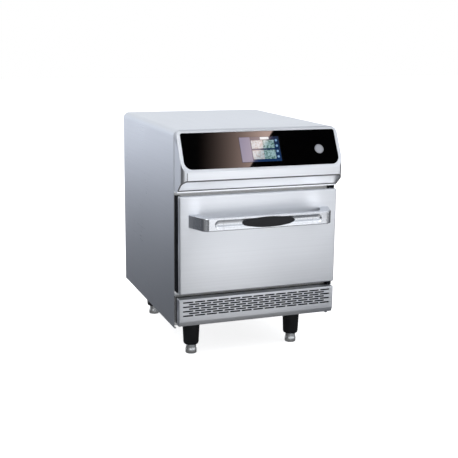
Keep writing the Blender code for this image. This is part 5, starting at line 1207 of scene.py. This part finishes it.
def stand_cards():
    """Cards that stand behind the oven, at both sides and before it."""
    hang_card("far card", standing(0, 6), oblong(-5.0, 0.02, -0.225, 2.0), 0.92, (0.86, 0.91, 1.0))
    hang_card("left flag", standing(-2.1, 0, pi / 2), oblong(-2.6, 0.02, 1.6, 2.2),
              (0.42, 0.11, -1.8, -0.7))
    hang_card("right flag", standing(1.6, 0.55, -1.25), oblong(-1.0, 0.02, 1.2, 2.0),
              (0.03, 0.30, 0.0, 1.2))
    hang_card("front flag", standing(-0.22, -0.8), oblong(-0.10, 0.15, 0.10, 0.40), 0.05)


def tilt_cards():
    """A dark and a three-cornered bright card that face the sloping glass."""
    across = Vector((-0.857, -0.515, 0.0))
    above = Vector((-0.350, 0.582, 0.734))
    centre = Vector((0.946, -1.821, 2.267))
    tilt = atan2(0.457, 1)
    rows = [list(row) for row in zip(across, above, across.cross(above), centre)]
    card = Matrix(rows + [[0, 0, 0, 1]])
    hang_card("glass flag", upright(0.011, -0.019, 0.020) @ card, oblong(-0.43, -0.28, 0.43, 0.29), 0)
    corners = [(u * cos(tilt) + v * sin(tilt), v * cos(tilt) - u * sin(tilt))
               for u, v in ((-0.408, 0.27), (0.42, 0.27), (0.42, -0.277))]
    hang_card("glass card", card @ Matrix.Rotation(tilt, 4, "Z"), corners,
              (0, 10.2, 0.395 * cos(tilt), -0.019 * cos(tilt)), (1.0, 0.72, 0.63), 2.1, CONTROL_PIECES)


def place_camera(scene):
    """The photograph's viewpoint."""
    yaw, pitch, roll = CAMERA_TURN
    ahead = Vector((sin(yaw) * cos(pitch), cos(yaw) * cos(pitch), sin(pitch)))
    right = Vector((cos(yaw), -sin(yaw), 0))
    up = right.cross(ahead)
    across = cos(roll) * right + sin(roll) * up
    above = cos(roll) * up - sin(roll) * right
    data = bpy.data.cameras.new("Camera")
    data.lens = CAMERA_LENS
    data.sensor_width = 36
    camera = add_object("Camera", data)
    rows = zip(across, above, -ahead, CAMERA_AT)
    camera.matrix_world = Matrix([list(row) for row in rows] + [[0, 0, 0, 1]])
    scene.camera = camera


class OVEN_OT_stage(bpy.types.Operator):
    """Set the floor, the lights, the world and the camera"""
    bl_idname = "oven.stage"
    bl_label = "Studio"

    def execute(self, context):
        scene = context.scene
        scene.view_settings.view_transform = "Standard"
        lay_floor()
        light_world(scene)
        add_lamp("Key Light", (-1.6, -2.2, 2.4), (0, 0, 0.35), 1.6, 26)
        add_lamp("Fill Light", (2.2, -1.8, 1.6), (0, 0, 0.35), 1.8, 4)
        high = add_lamp("Header Light", (0.84, -2.06, 2.38), (0, -0.26, 0.56), 0.65, 8.5)
        missed = gather("Header Light misses", HANDLE_PIECES)
        for member in missed.collection_objects:
            member.light_linking.link_state = "EXCLUDE"
        high.light_linking.receiver_collection = missed
        for x, aside in ((-0.188, 0.030), (0.155, 0.045)):
            hidden_lamp("Handle Glow", (x + aside, -0.34, 0.413), (x, DOOR_LOW.y, 0.432), 0.03, 0.0028,
                        ["door_front"])
        hang_cards()
        place_camera(scene)
        return {"FINISHED"}


OPERATORS = (OVEN_OT_wrapper, OVEN_OT_header, OVEN_OT_controls, OVEN_OT_door, OVEN_OT_handle, OVEN_OT_grille,
             OVEN_OT_legs, OVEN_OT_back, OVEN_OT_inside, OVEN_OT_stage)


class OVEN_PT_panel(bpy.types.Panel):
    """The oven's pieces, sizes and colours"""
    bl_label = "Speed Oven"
    bl_idname = "OVEN_PT_panel"
    bl_space_type = "VIEW_3D"
    bl_region_type = "UI"
    bl_category = "Oven"

    def draw(self, context):
        layout = self.layout
        for group in (context.scene.oven_sizes, context.scene.oven_colours):
            box = layout.box()
            for name in group.__annotations__:
                box.prop(group, name)
        for operator in OPERATORS:
            layout.operator(operator.bl_idname)


CLASSES = (OvenSizes, OvenColours, *OPERATORS, OVEN_PT_panel)


def register():
    """Add the classes and their settings."""
    for one in CLASSES:
        bpy.utils.register_class(one)
    bpy.types.Scene.oven_sizes = bpy.props.PointerProperty(type=OvenSizes)
    bpy.types.Scene.oven_colours = bpy.props.PointerProperty(type=OvenColours)


def unregister():
    """Take the classes and their settings away."""
    del bpy.types.Scene.oven_sizes
    del bpy.types.Scene.oven_colours
    for one in reversed(CLASSES):
        bpy.utils.unregister_class(one)


def main():
    """Make every piece in order."""
    register()
    for operator in OPERATORS:
        group, name = operator.bl_idname.split(".")
        getattr(getattr(bpy.ops, group), name)()


if __name__ == "__main__":
    main()
